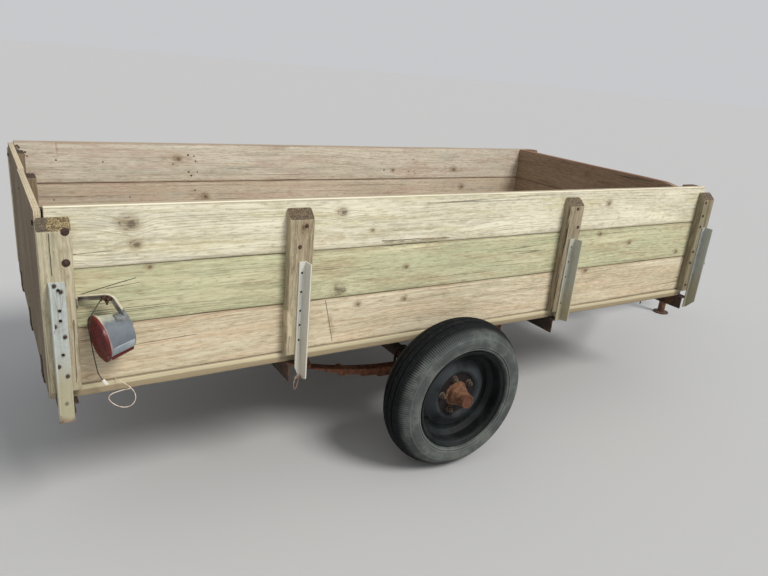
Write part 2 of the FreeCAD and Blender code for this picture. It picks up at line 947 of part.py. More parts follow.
def lamp_housing():
    bucket = lamp_drum(0)
    wide = 2 * lamp_ring_radius
    bucket = bucket.cut(box(-1, lamp_depth + 1, -wide, wide, -wide, -lamp_flat))
    window = prism(
        [
            (6, -30, -lamp_flat),
            (lamp_depth - 6, -30, -lamp_flat),
            (lamp_depth - 12, -30, -lamp_flat - 12),
            (12, -30, -lamp_flat - 12),
        ],
        (0, 60, 0),
    )
    return lamp_frame(fuse([bucket, window]))


def lamp_lens():
    ring = Part.makeCylinder(lamp_ring_radius, 8, Vector(-8, 0, 0), Vector(1, 0, 0))
    dish_radius = (lamp_ring_radius**2 + lamp_lens_thick**2) / (2 * lamp_lens_thick)
    dish = Part.makeSphere(dish_radius, Vector(dish_radius - 8 - lamp_lens_thick * 0.6, 0, 0))
    start = Vector(-8 - lamp_lens_thick, 0, 0)
    barrel = Part.makeCylinder(lamp_ring_radius - 5, lamp_lens_thick, start, Vector(1, 0, 0))
    lens = fuse([ring, barrel.common(dish)])
    wide = 2 * lamp_ring_radius
    return lamp_frame(lens.cut(box(-wide, wide, -wide, wide, -wide, -lamp_ring_radius + 6)))


def arm_strip(depth, width):
    # A strip with its top along the lamp's arm: up from the stake, round a bend, and down to the drum.
    start = Vector(0, 0, arm_start_height)
    corner = Vector(arm_run, 0, arm_start_height + arm_rise)
    end = Vector(arm_reach, 0, corner.z - arm_drop)
    out = (corner - start).normalize()
    down = (end - corner).normalize()
    under_out = Vector(out.z, 0, -out.x)
    under_down = Vector(down.z, 0, -down.x)
    tangent = arm_bend * math.tan(out.getAngle(down) / 2)
    start = start - out * 2 * arm_web
    end = end + down * 2 * arm_depth
    bend_start = corner - out * tangent
    bend_end = corner + down * tangent
    centre = bend_start + under_out * arm_bend
    crown = (corner - centre).normalize()
    inner = arm_bend - depth
    edges = [
        Part.LineSegment(start, bend_start),
        Part.Arc(bend_start, centre + crown * arm_bend, bend_end),
        Part.LineSegment(bend_end, end),
        Part.LineSegment(end, end + under_down * depth),
        Part.LineSegment(end + under_down * depth, bend_end + under_down * depth),
        Part.Arc(bend_end + under_down * depth, centre + crown * inner, bend_start + under_out * depth),
        Part.LineSegment(bend_start + under_out * depth, start + under_out * depth),
        Part.LineSegment(start + under_out * depth, start),
    ]
    face = Part.Face(Part.Wire([edge.toShape() for edge in edges]))
    strip = face.extrude(Vector(0, width, 0))
    strip.translate(Vector(0, -width / 2, 0))
    strip.rotate(Vector(0, 0, 0), Vector(0, 0, 1), -arm_turn)
    strip.translate(Vector(stake_width - stake_rear_overhang, -side_face - arm_start_out, 0))
    return strip


def lamp_bracket():
    # A bent T-section arm, with a tab on the stake's front edge and a saddle on the drum's top.
    x0 = stake_width - stake_rear_overhang
    arm = fuse([arm_strip(arm_depth, arm_web), arm_strip(arm_flange_thick, arm_flange)])
    wide = 2 * lamp_ring_radius
    behind = box(x0 - wide, x0, -stake_face - wide, -side_face + wide, arm_start_height - wide, angle_top)
    arm = arm.cut(fuse([behind, lamp_frame(lamp_drum(0))]))
    y0 = -side_face - arm_start_out + arm_flange / 2
    tab = box(x0, x0 + arm_web, y0 - arm_tab, y0, arm_start_height - arm_tab, arm_start_height)
    shell = lamp_drum(saddle_thick).cut(lamp_drum(0))
    foot = box(saddle_rear, lamp_depth, -saddle_outer, -saddle_inner, 0, wide)
    saddle = lamp_frame(shell.common(foot))
    return fuse([arm, tab, saddle])


# Free wires


def tube_along(points, radius, name):
    # Straight runs joined by tangent arcs, each as large as its two runs allow.
    corners = [Vector(*p) for p in points]
    edges = []
    radii = []
    start = corners[0]
    for before, here, after in zip(corners, corners[1:], corners[2:]):
        a = (before - here).normalize()
        b = (after - here).normalize()
        turn = math.pi - a.getAngle(b)
        short = min((before - here).Length, (after - here).Length)
        tangent = 0.45 * short
        bend = tangent / math.tan(turn / 2)
        radii.append(round(bend, 1))
        p0 = here + a * tangent
        p1 = here + b * tangent
        inward = (a + b).normalize()
        mid = here + inward * (bend / math.cos(turn / 2) - bend)
        edges.append(Part.LineSegment(start, p0).toShape())
        edges.append(Part.Arc(p0, mid, p1).toShape())
        start = p1
    edges.append(Part.LineSegment(start, corners[-1]).toShape())
    path = Part.Wire(edges)
    direction = corners[1] - corners[0]
    circle = Part.Wire(Part.makeCircle(radius, corners[0], direction))
    tube = path.makePipeShell([circle], True, True)
    length = path.Length
    print(name, "length", round(length, 1), "radii", radii)
    print(name, "volume over section times length", round(tube.Volume / (math.pi * radius**2 * length), 4))
    return tube


# Lead from the clip under the lamp's arm down past the lens to its connector: from the rear of the
# deck, outward from the side's face, and above the ground.
lead_route = [
    (127.0, 43.0, 819.0),
    (118.0, 51.0, 811.0),
    (106.0, 61.0, 798.0),
    (94.0, 72.0, 783.0),
    (89.0, 80.0, 765.0),
    (87.0, 84.0, 744.0),
    (88.5, 83.0, 720.0),
    (92.0, 78.0, 693.0),
    (96.0, 72.0, 660.0),
    (101.0, 66.5, 628.0),
    (105.0, 62.0, 599.0),
    (112.0, 60.0, 580.0),
    (118.0, 60.0, 571.0),
]

# Wire that leaves the side board above the deck's edge, loops out and down, and comes back to the
# deck's edge.
loop_route = [
    (161.0, 0.0, 541.5),
    (161.0, 11.0, 541.5),
    (169.0, 23.0, 541.0),
    (182.0, 35.0, 536.0),
    (199.0, 47.0, 523.0),
    (211.0, 54.0, 503.0),
    (211.0, 56.0, 482.0),
    (202.0, 55.0, 466.0),
    (186.0, 51.5, 457.5),
    (168.0, 46.0, 459.0),
    (151.0, 40.0, 468.0),
    (140.0, 34.0, 479.0),
    (135.5, 30.0, 488.0),
    (139.0, 27.5, 496.0),
    (149.0, 26.0, 501.5),
    (164.0, 26.0, 504.5),
    (179.0, 26.0, 507.0),
    (193.0, 26.0, 507.5),
    (200.8, 21.5, 505.5),
    (205.3, 13.7, 504.0),
    (205.3, deck_ledge, 504.0),
]


def on_right_side(route):
    return [(x, -side_face - out, z) for x, out, z in route]


def lead_gland():
    # A short sleeve under the lamp's arm that the lead comes out of.
    start, towards = [Vector(*p) for p in on_right_side(lead_route)[:2]]
    back = (start - towards).normalize() * gland_length
    return rod(gland_radius, start + back, start)


def lead_plug():
    # A squared connector in line with the lead's end.
    before, end = [Vector(*p) for p in on_right_side(lead_route)[-2:]]
    half = plug_size / 2
    body = box(-half, half, -half, half, 0, plug_length)
    long_edges = [e for e in body.Edges if abs(e.tangentAt(e.FirstParameter).z) > 0.9]
    body = body.makeFillet(plug_corner, long_edges)
    turn = FreeCAD.Rotation(Vector(0, 0, 1), end - before)
    body.Placement = FreeCAD.Placement(end, turn).multiply(body.Placement)
    return body


os.makedirs("parts", exist_ok=True)

save("deck_planks", deck_planks())
for row, level in enumerate(("low", "middle", "top")):
    board = side_board(row)
    save("side_board_right_" + level, board)
    save("side_board_left_" + level, other_side(board))
save("front_boards", front_boards())
save("front_corner_posts", both(front_post()))

wood = Part.makeCompound([wooden_stake(stake.rear) for stake in stakes])
save("wooden_stakes_right", wood)
save("wooden_stakes_left", other_side(wood))
steel = Part.makeCompound([steel_stake(stake, index == 1) for index, stake in enumerate(stakes)])
whole_steel = Part.makeCompound([steel_stake(stake, False) for stake in stakes])
save("steel_stakes_right", steel)
save("steel_stakes_left", other_side(whole_steel))

for index, stake in enumerate(stakes):
    save("cross_member_" + str(index + 1), cross_member(stake))
save("rail_right", rail())
save("rail_left", other_side(rail()))
save("tongue", tongue())
save("tongue_braces", both(brace()))
save("coupler", coupler())
save("stand_sleeve", stand_sleeve())
save("stand_leg", stand_leg())

save("axle", axle())
save("spring_right", leaf_spring())
save("spring_left", other_side(leaf_spring()))
save("spring_hangers", both(spring_hangers()))
save("axle_clamps", both(axle_clamp()))
for side, turned in (("right", lambda shape: shape), ("left", other_side)):
    save("hub_" + side, turned(hub()))
    save("wheel_" + side, turned(wheel_disc()))
    save("tyre_" + side, turned(tyre()))

save("gate_panels", gate_panels())
save("gate_battens", gate_battens())
save("gate_straps", gate_straps())
save("fixed_hinges", fixed_hinges())

save("lamp_housings", both(lamp_housing()))
save("lamp_lenses", both(lamp_lens()))
brackets = [fuse([lamp_bracket(), lead_gland()]), other_side(lamp_bracket())]
save("lamp_brackets", Part.makeCompound(brackets))
save("lamp_lead", tube_along(on_right_side(lead_route), lead_radius, "lamp_lead"))
save("lamp_plug", lead_plug())
save("ground_wire", tube_along(on_right_side(loop_route), wire_radius, "ground_wire"))
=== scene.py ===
import math
import random

import bmesh
import bpy
from mathutils import Matrix, Vector, noise


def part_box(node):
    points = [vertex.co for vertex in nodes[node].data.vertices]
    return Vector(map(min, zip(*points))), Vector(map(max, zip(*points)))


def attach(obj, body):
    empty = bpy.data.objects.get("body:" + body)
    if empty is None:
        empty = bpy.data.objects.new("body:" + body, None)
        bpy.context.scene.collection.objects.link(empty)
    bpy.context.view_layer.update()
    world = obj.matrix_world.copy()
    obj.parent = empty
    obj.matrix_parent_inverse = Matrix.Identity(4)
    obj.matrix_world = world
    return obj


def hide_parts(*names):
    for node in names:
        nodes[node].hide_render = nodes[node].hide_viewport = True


# A weathered ten-foot stake-side trailer. Metres, in the frame's own axes: X forward, Y to the
# trailer's left, Z up. A place "from the rear" is measured forward from the deck's rear end, and
# "out" is measured outward from the face of a side. A colour is given as it looks on a screen,
# from 0 to 255.

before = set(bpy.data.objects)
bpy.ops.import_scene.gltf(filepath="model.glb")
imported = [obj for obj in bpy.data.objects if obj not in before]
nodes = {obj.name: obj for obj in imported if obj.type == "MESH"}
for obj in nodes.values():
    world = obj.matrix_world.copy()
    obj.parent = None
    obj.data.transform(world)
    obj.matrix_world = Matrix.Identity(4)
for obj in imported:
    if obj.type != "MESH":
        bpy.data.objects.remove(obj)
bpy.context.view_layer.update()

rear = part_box("deck_planks")[0].x
deck_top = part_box("deck_planks")[1].z
side_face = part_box("side_board_right_low")[0].y
side_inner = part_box("side_board_right_low")[1].y
stake_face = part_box("wooden_stakes_right")[0].y
wheel_centre = (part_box("tyre_right")[0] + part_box("tyre_right")[1]) / 2
tyre_radius = wheel_centre.z

X, Y, Z = 0, 1, 2
RIGHT, LEFT = 1, -1
sides = ((RIGHT, "right"), (LEFT, "left"))


def spot(x, out, z, side=RIGHT):
    """A place given from the rear, outward from a side's face, and above the ground."""
    return Vector((rear + x, side * (side_face - out), z))


# Shader maths


def maths(operation, turned=False):
    """An operator that adds a Math node. When turned, the value is its last input."""

    def operator(value, *others):
        inputs = (*others, value) if turned else (value, *others)
        return value.finish.node("Math", {"operation": operation}, dict(enumerate(inputs)))

    return operator


class Value:
    """One shader value. An expression on it adds the Math nodes that work it out."""

    def __init__(self, finish, socket):
        self.finish = finish
        self.socket = socket

    __add__ = maths("ADD")
    __radd__ = maths("ADD", turned=True)
    __sub__ = maths("SUBTRACT")
    __rsub__ = maths("SUBTRACT", turned=True)
    __mul__ = maths("MULTIPLY")
    __rmul__ = maths("MULTIPLY", turned=True)
    __truediv__ = maths("DIVIDE")
    __pow__ = maths("POWER")
    __mod__ = maths("FLOORED_MODULO")
    __abs__ = maths("ABSOLUTE")
    floor = maths("FLOOR")
    root = maths("SQRT")
    exp = maths("EXPONENT")
    largest = maths("MAXIMUM")
    smallest = maths("MINIMUM")

    def rise(self, low, high):
        """0 at low, 1 at high, and smooth between them. With low above high it falls."""
        settings = {"interpolation_type": "SMOOTHSTEP"}
        if low < high:
            return self.finish.node("MapRange", settings, {0: self, 1: low, 2: high})
        return self.finish.node("MapRange", settings, {0: self, 1: high, 2: low, 3: 1.0, 4: 0.0})


class Finish:
    """A material, the nodes that make its surface, and its colour so far."""

    def __init__(self, name):
        self.material = bpy.data.materials.new(name)
        self.material.use_nodes = True
        self.tree = self.material.node_tree
        self.tree.nodes.clear()
        self.colour = None
        self.place = self.node("TexCoord", output="Object")

    def node(self, kind, settings=None, inputs=None, output=0):
        """Adds a node. Its settings come first, then the values or links of its inputs."""
        made = self.tree.nodes.new("ShaderNode" + kind)
        for name, value in (settings or {}).items():
            setattr(made, name, value)
        for name, value in (inputs or {}).items():
            if isinstance(value, Value):
                self.tree.links.new(value.socket, made.inputs[name])
            elif made.inputs[name].type == "RGBA":
                made.inputs[name].default_value = linear(value)
            else:
                made.inputs[name].default_value = value
        return Value(self, made.outputs[output])

    def axes(self, vector, directions=(X, Y, Z)):
        return [self.node("SeparateXYZ", None, {0: vector}, axis) for axis in directions]

    def normals(self, directions=(X, Y, Z)):
        return self.axes(self.node("TexCoord", output="Normal"), directions)

    def point(self, x, y, z):
        return self.node("CombineXYZ", None, {0: x, 1: y, 2: z})

    def noise(self, vector, scale, detail, rough):
        inputs = {"Vector": vector, "Scale": scale, "Detail": detail, "Roughness": rough}
        return self.node("TexNoise", None, inputs)

    def noises(self, *rows):
        """Noises over the surface, each given as (scale, detail, roughness)."""
        return [self.noise(self.place, *row) for row in rows]

    def grain(self, x, y, z, detail=2.0, rough=0.5):
        """Noise of a point whose axes are drawn out by their own amounts."""
        return self.noise(self.point(x, y, z), 1.0, detail, rough)

    def cells(self, vector, scale, output="Distance"):
        return self.node("TexVoronoi", None, {"Vector": vector, "Scale": scale}, output)

    def scatter(self, value):
        """A value from 0 to 1 that jumps with each whole number."""
        return self.node("TexWhiteNoise", {"noise_dimensions": "1D"}, {"W": value})

    def mix(self, share, first, second):
        settings = {"data_type": "RGBA", "clamp_factor": True}
        return self.node("Mix", settings, {0: share, 6: first, 7: second}, 2)

    def lay(self, *coats):
        """Lays coats over the colour so far, each given as (how much of it shows, tint)."""
        for share, tint in coats:
            self.colour = self.mix(share, self.colour, tint)

    def near(self, a, b, place, stretch):
        """Distance from a place on two axes, with the first axis drawn out by stretch."""
        return (((a - place[0]) / stretch) ** 2 + (b - place[1]) ** 2).root()

    def from_line(self, a, b, start, end):
        """Distance on two axes from a straight line between two places."""
        da, db = end[0] - start[0], end[1] - start[1]
        from_a = a - start[0]
        from_b = b - start[1]
        share = ((from_a * da + from_b * db) / (da * da + db * db)).largest(0.0).smallest(1.0)
        return ((from_a - share * da) ** 2 + (from_b - share * db) ** 2).root()

    def close(self, rough, height=None, depth=0.001, **fixed):
        """The last nodes. Height is what the bump reads, and depth is its size in metres."""
        inputs = {"Base Color": self.colour, "Roughness": rough}
        inputs.update({name.replace("_", " "): value for name, value in fixed.items()})
        if height is not None:
            inputs["Normal"] = self.node("Bump", None, {"Distance": depth, "Height": height})
        surface = self.node("BsdfPrincipled", None, inputs)
        self.tree.links.new(surface.socket, self.tree.nodes.new("ShaderNodeOutputMaterial").inputs[0])
        return self.material


def linear(colour):
    """A socket's colour from one on a screen's scale of 0 to 255."""
    return (*(((part / 255 + 0.055) / 1.055) ** 2.4 for part in colour), 1.0)


def from_axle(x, z):
    """Distance from the line through the two wheels' middles."""
    return ((x - wheel_centre.x) ** 2 + (z - wheel_centre.z) ** 2).root()


# Wood

# The noises of sawn wood: how fine along the grain and across it, detail and roughness
wood_noises = {
    "warp": (2.0, 13.0, 3.0, 0.55),
    "fibre": (10.0, 240.0, 3.0, 0.6),
    "streak": (2.0, 95.0, 4.0, 0.65),
    "blotch": (1.6, 7.0, 4.0, 0.65),
    "dirt": (6.0, 20.0, 5.0, 0.7),
    "fleck": (26.0, 150.0, 4.0, 0.7),
}
knot_brown = (140, 116, 84)
crack_dark = (62, 50, 38)
end_dark = (66, 52, 40)
end_dirt = (80, 68, 56)


def wood(name, directions, seed, tones, first=0.0, pitch=1.0, face=0.0, depth=0.05, ring_gap=0.0058,
         rings=0.55, streaks=0.5, fibres=0.4, cracks=0.7, wear=0.5, spread=0.0, knots=(), tints=(),
         scratches=(), smears=(), runs=(), edge_dirt=None, rim=None, end_tone=None, end_left=None):
    """Sawn softwood. Directions name the axes along the grain, across the board and through it,
    and boards of one width, the pitch, lie side by side from first on. Growth rings lie about a
    pith that wanders at a depth behind the face, and knots push them aside. Tones are the pale,
    middle and late wood, and the stain of dirt."""
    finish = Finish(name)
    pale, mid, late, stain = tones
    u, v, w = finish.axes(finish.place, directions)
    along, across, _ = finish.normals(directions)
    row = ((v - first) / pitch).floor()
    toss = finish.scatter(row + seed)
    centre = v - first - (row + 0.5) * pitch
    run = u + toss * 9.0 + seed * 1.7

    warp, fibre, streak, blotch, dirt, fleck = [
        finish.grain(run * fine, v * wide, w * wide, detail, rough)
        for fine, wide, detail, rough in wood_noises.values()
    ]
    drift = finish.grain(run * 0.5, toss * 5.0, 0.0, 1.0)
    sway = finish.grain(run * 0.6, toss * 5.0, 4.0, 1.0)
    from_pith = centre - (drift - 0.5) * 0.3
    behind = w - face + depth + (sway - 0.5) * 0.06
    bite = finish.grain(u * 55.0, v * 85.0, w * 55.0, 3.0, 0.6)
    radius = (from_pith**2 + behind**2).root() + (warp - 0.5) * 0.016

    knot_fields = []
    for place, size in knots:
        distance = finish.near(u, v, place, 1.4) + (bite - 0.5) * size * 0.9
        heart_place = (place[0] + size * 0.30, place[1] - size * 0.22)
        heart = finish.near(u, v, heart_place, 1.2) + (bite - 0.5) * size * 1.3
        radius = radius + ((distance / (size * 2.2)) ** 2 * -1.0).exp() * size * 0.9
        knot_fields.append((distance, heart, size))

    turns = radius / ring_gap
    ring = turns % 1.0
    weight = finish.scatter(turns.floor() + seed)
    fade = finish.grain(run * 1.6, v * 7.0, w * 7.0 + 3.0).rise(0.32, 0.66) * 0.8 + 0.2
    late_wood = ring.rise(0.15, 0.85) * ring.rise(1.0, 0.88) * weight * fade

    finish.colour = finish.mix(blotch.rise(0.35, 0.66), pale, mid)
    finish.lay((finish.scatter(row * 3.1 + seed) * spread, late))
    for index, (tint, low, high, share) in enumerate(tints):
        patch = finish.grain(run * 2.2, v * 15.0, 7.0 + index * 6.0, 5.0, 0.7)
        finish.lay((patch.rise(low, high) * share, tint))
    finish.lay(
        (late_wood * rings, late),
        (streak.rise(0.46, 0.72) * streaks, late),
        (streak.rise(0.46, 0.25) * 0.5, pale),
        (fibre.rise(0.5, 0.78) * fibres, late),
        (fibre.rise(0.48, 0.25) * 0.35, pale),
        (dirt.rise(0.54, 0.76) * wear, stain),
        (fleck.rise(0.53, 0.66) * 0.55, late),
        (fleck.rise(0.47, 0.34) * 0.60, pale),
    )
    for distance, heart, size in knot_fields:
        arc = abs(distance - size * 1.05).rise(size * 0.2, 0.0) * bite.rise(0.46, 0.58)
        finish.lay(
            (distance.rise(size * 2.3, size * 0.3) * 0.6, knot_brown),
            (arc * 0.6, crack_dark),
            (heart.rise(size * 0.95, size * 0.25) * 0.62, crack_dark),
        )
    height = fibre * 0.35 + streak * 0.3 - late_wood * 0.4

    # Fine drying cracks follow the grain, as thin bands of a drawn-out noise
    split = finish.grain(run * 0.45, v * 34.0 + 3.0, w * 34.0, 1.5, 0.4)
    where = finish.grain(run * 1.5, v * 11.0, 9.0)
    crack = abs(split - 0.5).rise(0.011, 0.002) * where.rise(0.53, 0.66) * cracks
    for start, end, width in scratches:
        bend = finish.grain(u * 14.0, 0.0, start[1] * 50.0) - 0.5
        gap = finish.from_line(u, v + bend * 0.006, start, end) + bend * width
        crack = crack.largest(gap.rise(width, width * 0.35))
    finish.lay((crack * 0.85, crack_dark))

    for start, end, width, tint, share in smears:
        gap = finish.from_line(u, v, start, end) + (bite - 0.5) * width * 1.6 + (fibre - 0.5) * width * 0.8
        ragged = fleck.rise(0.40, 0.54) * 0.7 + 0.3
        finish.lay((gap.rise(width, width * 0.3) * ragged * share, tint))
    for place, length, width, tint in runs:
        aside = abs(u - place[0] + (warp - 0.5) * width)
        down = v.rise(place[1] - length, place[1]) * v.rise(place[1] + 0.004, place[1])
        finish.lay((aside.rise(width, 0.0) * down * bite.rise(0.3, 0.6) * 0.7, tint))
    if edge_dirt:
        low, high, reach = edge_dirt
        to_edge = (v - low).smallest(high - v) + (dirt - 0.5) * reach * 1.6
        finish.lay((to_edge.rise(reach, 0.0) * 0.6, stain))
    # Edge faces across the board take the rim colours, pale by the face and darker further in: partly
    # weathering, partly painted light.
    if rim:
        outer, back, share, reach = rim
        inner = (abs(w - face) + (dirt - 0.5) * reach * 0.5).rise(reach * 0.8, reach * 1.1)
        finish.lay((abs(across).rise(0.4, 0.8) * share, finish.mix(inner, outer, back)))

    facing = abs(along).rise(0.45, 0.7)
    grit, coarse = finish.noises((330.0, 3.0, 0.75), (75.0, 3.0, 0.65))
    specks = (grit * 0.8 + coarse * 0.2).rise(0.42, 0.58)
    end_grain = finish.mix(specks, end_dark, end_tone or mid)
    if end_left:
        left = ((v - first) / pitch + (coarse - 0.5) * 0.3).rise(0.40, 0.28)
        end_grain = finish.mix(left * 0.85, end_grain, finish.mix(specks, end_dirt, end_left))
    finish.lay((facing, end_grain))
    return finish.close(0.78 + fibre * 0.16, height - crack * 2.0 + specks * facing, 0.0012)


def plywood(name, directions, seed, tones, face, layer):
    """Rotary-cut plywood: wide wavy figure on its faces and thin layers on its edges."""
    finish = Finish(name)
    pale, mid, dark = tones
    u, v, w = finish.axes(finish.place, directions)
    along, across, _ = finish.normals(directions)
    bands = ((finish.grain(u * 0.9, v * 4.5, seed, 3.0) * 13.0) % 1.0).rise(0.1, 0.95)
    fibre = finish.grain(u * 9.0, v * 360.0, w * 360.0)
    streak = finish.grain(u * 1.8, v * 55.0, seed, 4.0, 0.65)
    blotch = finish.grain(u * 2.2, v * 3.2, seed + 3.0, 3.0, 0.6)
    check = abs(finish.grain(u * 2.2, v * 60.0, seed) - 0.5).rise(0.01, 0.002)
    edge = abs(along).largest(abs(across)).rise(0.5, 0.75)
    plies = (((w - face) / layer) % 2.0).rise(0.9, 1.1)
    rag = finish.noise(finish.place, 130.0, 3.0, 0.7)
    layers = finish.mix(plies, (202, 188, 160), (186, 170, 142))
    finish.colour = finish.mix(blotch.rise(0.36, 0.66), pale, mid)
    finish.lay(
        (bands * 0.5, mid),
        (streak.rise(0.5, 0.72) * 0.6, dark),
        (fibre.rise(0.52, 0.8) * 0.4, dark),
        (check * blotch.rise(0.4, 0.55) * 0.8, (45, 36, 28)),
        (edge, finish.mix(rag.rise(0.5, 0.7) * 0.6, layers, (134, 116, 92))),
    )
    height = fibre * 0.4 + streak * 0.5 - check * 1.2 - edge * plies * 0.5
    return finish.close(0.8 + fibre * 0.12, height, 0.0010)


# Metal, rubber and lamp finishes

# Radii on the wheel: the disc, paled partly by dust and partly by painted light, its middle, painted
# dark as shade, the hub's nose, and the pale lines and the dark groove on the tyre's wall, each line
# with how much of it shows
dust_and_light_radius = 0.150
shaded_middle_radius = 0.094
nose_radius = 0.047
wall_lines = ((0.2190, 0.55), (0.2275, 0.35), (0.2655, 0.30))
wall_groove = 0.2235
# How far out from the wheel's middle the hub's back is painted dark as shade, and its nose turns darker
hub_shade_reach = 0.020
hub_tip = 0.084
# The height of the saddle's top on the lamp's drum
saddle_top = 0.800

def rust(name, deep, brown, orange, amount=0.5, paint_left=None):
    """Scaled rust over old steel. Paint left on it shows in patches."""
    finish = Finish(name)
    broad, scale, fine = finish.noises((9.0, 4.0, 0.6), (55.0, 5.0, 0.7), (420.0, 3.0, 0.7))
    finish.colour = finish.mix(scale.rise(0.36, 0.62), deep, brown)
    finish.lay(
        (broad.rise(0.48, 0.7) * scale.rise(0.4, 0.62) * amount * 1.6, orange),
        (fine.rise(0.55, 0.75) * 0.45, deep),
    )
    if paint_left:
        finish.lay(((broad + scale * 0.35).rise(0.72, 0.62) * 0.75, paint_left))
    return finish.close(0.74 + fine * 0.24, scale * 1.2 + fine * 0.5, 0.0012)


def galvanised(name, foot, olive_top, spots=(), tones=()):
    """Dull zinc with a faint spangle, run-down dirt, dark spots (place, size, strength) and a
    stained lower end. Each tone is (place along the side, colour, share), because each stake has
    weathered its own way."""
    finish = Finish(name)
    x, y, z = finish.axes(finish.place)
    dapple = finish.axes(finish.cells(finish.place, 190.0, "Color"), (X,))[0]
    broad, fine = finish.noises((14.0, 4.0, 0.6), (320.0, 3.0, 0.65))
    runs = finish.grain(x * 150.0, y * 150.0, z * 6.0, 3.0, 0.6)
    finish.colour = finish.mix(dapple * 0.4 + 0.1, (188, 194, 190), (210, 214, 210))
    finish.lay(
        (broad.rise(0.45, 0.72) * 0.5, (168, 170, 160)),
        ((z + (broad - 0.5) * 0.16).rise(olive_top, foot + 0.10) * 0.85, (178, 170, 138)),
        (runs.rise(0.52, 0.76) * 0.4, (118, 110, 90)),
    )
    for place, tint, share in tones:
        finish.lay((abs(x - place).rise(0.075, 0.070) * share, tint))
    worn = broad.rise(0.72, 0.9) * 0.6
    for place, size, strength in spots:
        distance = finish.near(z, x, (place[1], place[0]), 1.2) + (fine - 0.5) * 0.004
        worn = worn.largest(distance.rise(size, size * 0.4) * strength)
    rusted = finish.mix(fine.rise(0.4, 0.65), (92, 62, 46), (158, 118, 96))
    finish.lay(
        (fine.rise(0.62, 0.74) * 0.5, (92, 84, 68)),
        (worn, (74, 66, 50)),
        ((z + (broad - 0.5) * 0.06).rise(foot + 0.030, foot) * 0.85, rusted),
    )
    rough = 0.52 + runs * 0.2 + worn * 0.2
    return finish.close(rough, fine * 0.6 + dapple * 0.25, 0.0006, Metallic=0.22 - worn * 0.2)


def worn_paint(name, base, light, chip, chips, scuff_and_highlight=None, disc=None, **fixed):
    """Old sheet-steel paint: chalky patches, fine scratches and chips down to rust. A scuff and
    highlight is (from, to, colour), paler more and more between those heights: partly rubbed
    paint, partly a painted highlight on the top. A disc is the colours of a wheel's disc, paled
    partly by dust and partly by painted light, and of its middle, painted dark as shade."""
    finish = Finish(name)
    broad, fine, dust = finish.noises((11.0, 4.0, 0.6), (240.0, 4.0, 0.7), (42.0, 3.0, 0.6))
    x, _, z = finish.axes(finish.place)
    finish.colour = finish.mix(broad.rise(0.38, 0.68), base, light)
    finish.lay((dust.rise(0.5, 0.78) * 0.35, light))
    if disc:
        dust_and_light, shaded_middle = disc
        # The disc is paled partly by dust and partly by painted light, and its middle is painted dark as
        # shade.
        radius = from_axle(x, z) + (dust - 0.5) * 0.012
        finish.lay(
            (radius.rise(dust_and_light_radius, dust_and_light_radius - 0.008) * broad.rise(0.2, 0.6) * 0.8, dust_and_light),
            (radius.rise(shaded_middle_radius, shaded_middle_radius - 0.010) * 0.85, shaded_middle),
        )
    worn = (fine * 0.6 + broad * 0.5).rise(0.66, 0.74) * chips
    finish.lay((worn, chip))
    if scuff_and_highlight:
        low, high, tint = scuff_and_highlight
        # Paler towards the top: partly rubbed paint, partly a painted highlight.
        rubbed_and_lit = (z + (dust - 0.5) * 0.012 + (fine - 0.5) * 0.010).rise(low, high)
        finish.lay((rubbed_and_lit * 0.8, tint))
    return finish.close(0.5 + dust * 0.25 + worn * 0.2, fine * 0.25 - worn * 0.8, 0.0005, **fixed)


def arm_steel():
    """The lamp arm: pale on faces that look up and dark on the others, partly rubbed metal and old grease,
    partly painted light and shade.
    """
    finish = Finish("lamp arm steel")
    z = finish.axes(finish.place)[Z]
    up = finish.normals()[Z]
    broad, fine = finish.noises((40.0, 4.0, 0.65), (300.0, 3.0, 0.7))
    web = finish.mix(broad.rise(0.38, 0.66), (92, 84, 70), (140, 134, 118))
    top = finish.mix(broad.rise(0.45, 0.7) * 0.7, (206, 198, 178), (160, 146, 118))
    saddle = finish.mix(broad.rise(0.4, 0.66), (98, 98, 96), (134, 138, 140))
    # Faces that look up take the pale colour and the rest the dark one: partly painted light and shade.
    finish.colour = finish.mix(up.rise(0.15, 0.55), web, top)
    finish.lay(
        (z.rise(saddle_top, saddle_top - 0.008), saddle),
        (fine.rise(0.6, 0.76) * 0.5, (84, 60, 44)),
    )
    return finish.close(0.62 + broad * 0.2, fine * 0.5, 0.0006)


def hub_iron():
    """Rusted hub: an orange-brown nose, its back painted dark as shade, and dull nuts."""
    finish = Finish("hub iron")
    x, y, z = finish.axes(finish.place)
    reach = abs(y) - abs(wheel_centre.y)
    scale, fine, broad = finish.noises((60.0, 5.0, 0.7), (380.0, 3.0, 0.7), (22.0, 3.0, 0.6))
    nose = finish.mix(scale.rise(0.36, 0.62), (84, 56, 40), (134, 92, 64))
    nose = finish.mix(reach.rise(hub_tip, hub_tip + 0.013) * 0.8, nose, (78, 38, 22))
    nose = finish.mix(broad.rise(0.45, 0.65) * 0.4, nose, (98, 74, 58))
    nuts = finish.mix(scale.rise(0.38, 0.62), (48, 40, 34), (92, 80, 64))
    nuts = finish.mix(broad.rise(0.46, 0.6) * 0.5, nuts, (100, 82, 66))
    finish.colour = finish.mix(from_axle(x, z).rise(nose_radius, nose_radius + 0.009), nose, nuts)
    # The hub's back, inside the disc, is painted dark as shade.
    finish.lay(
        (reach.rise(hub_shade_reach, hub_shade_reach - 0.008) * 0.8, (40, 34, 30)),
        (fine.rise(0.52, 0.72) * 0.5, (48, 34, 26)),
    )
    return finish.close(0.76 + fine * 0.22, scale * 1.2 + fine * 0.6, 0.0012)


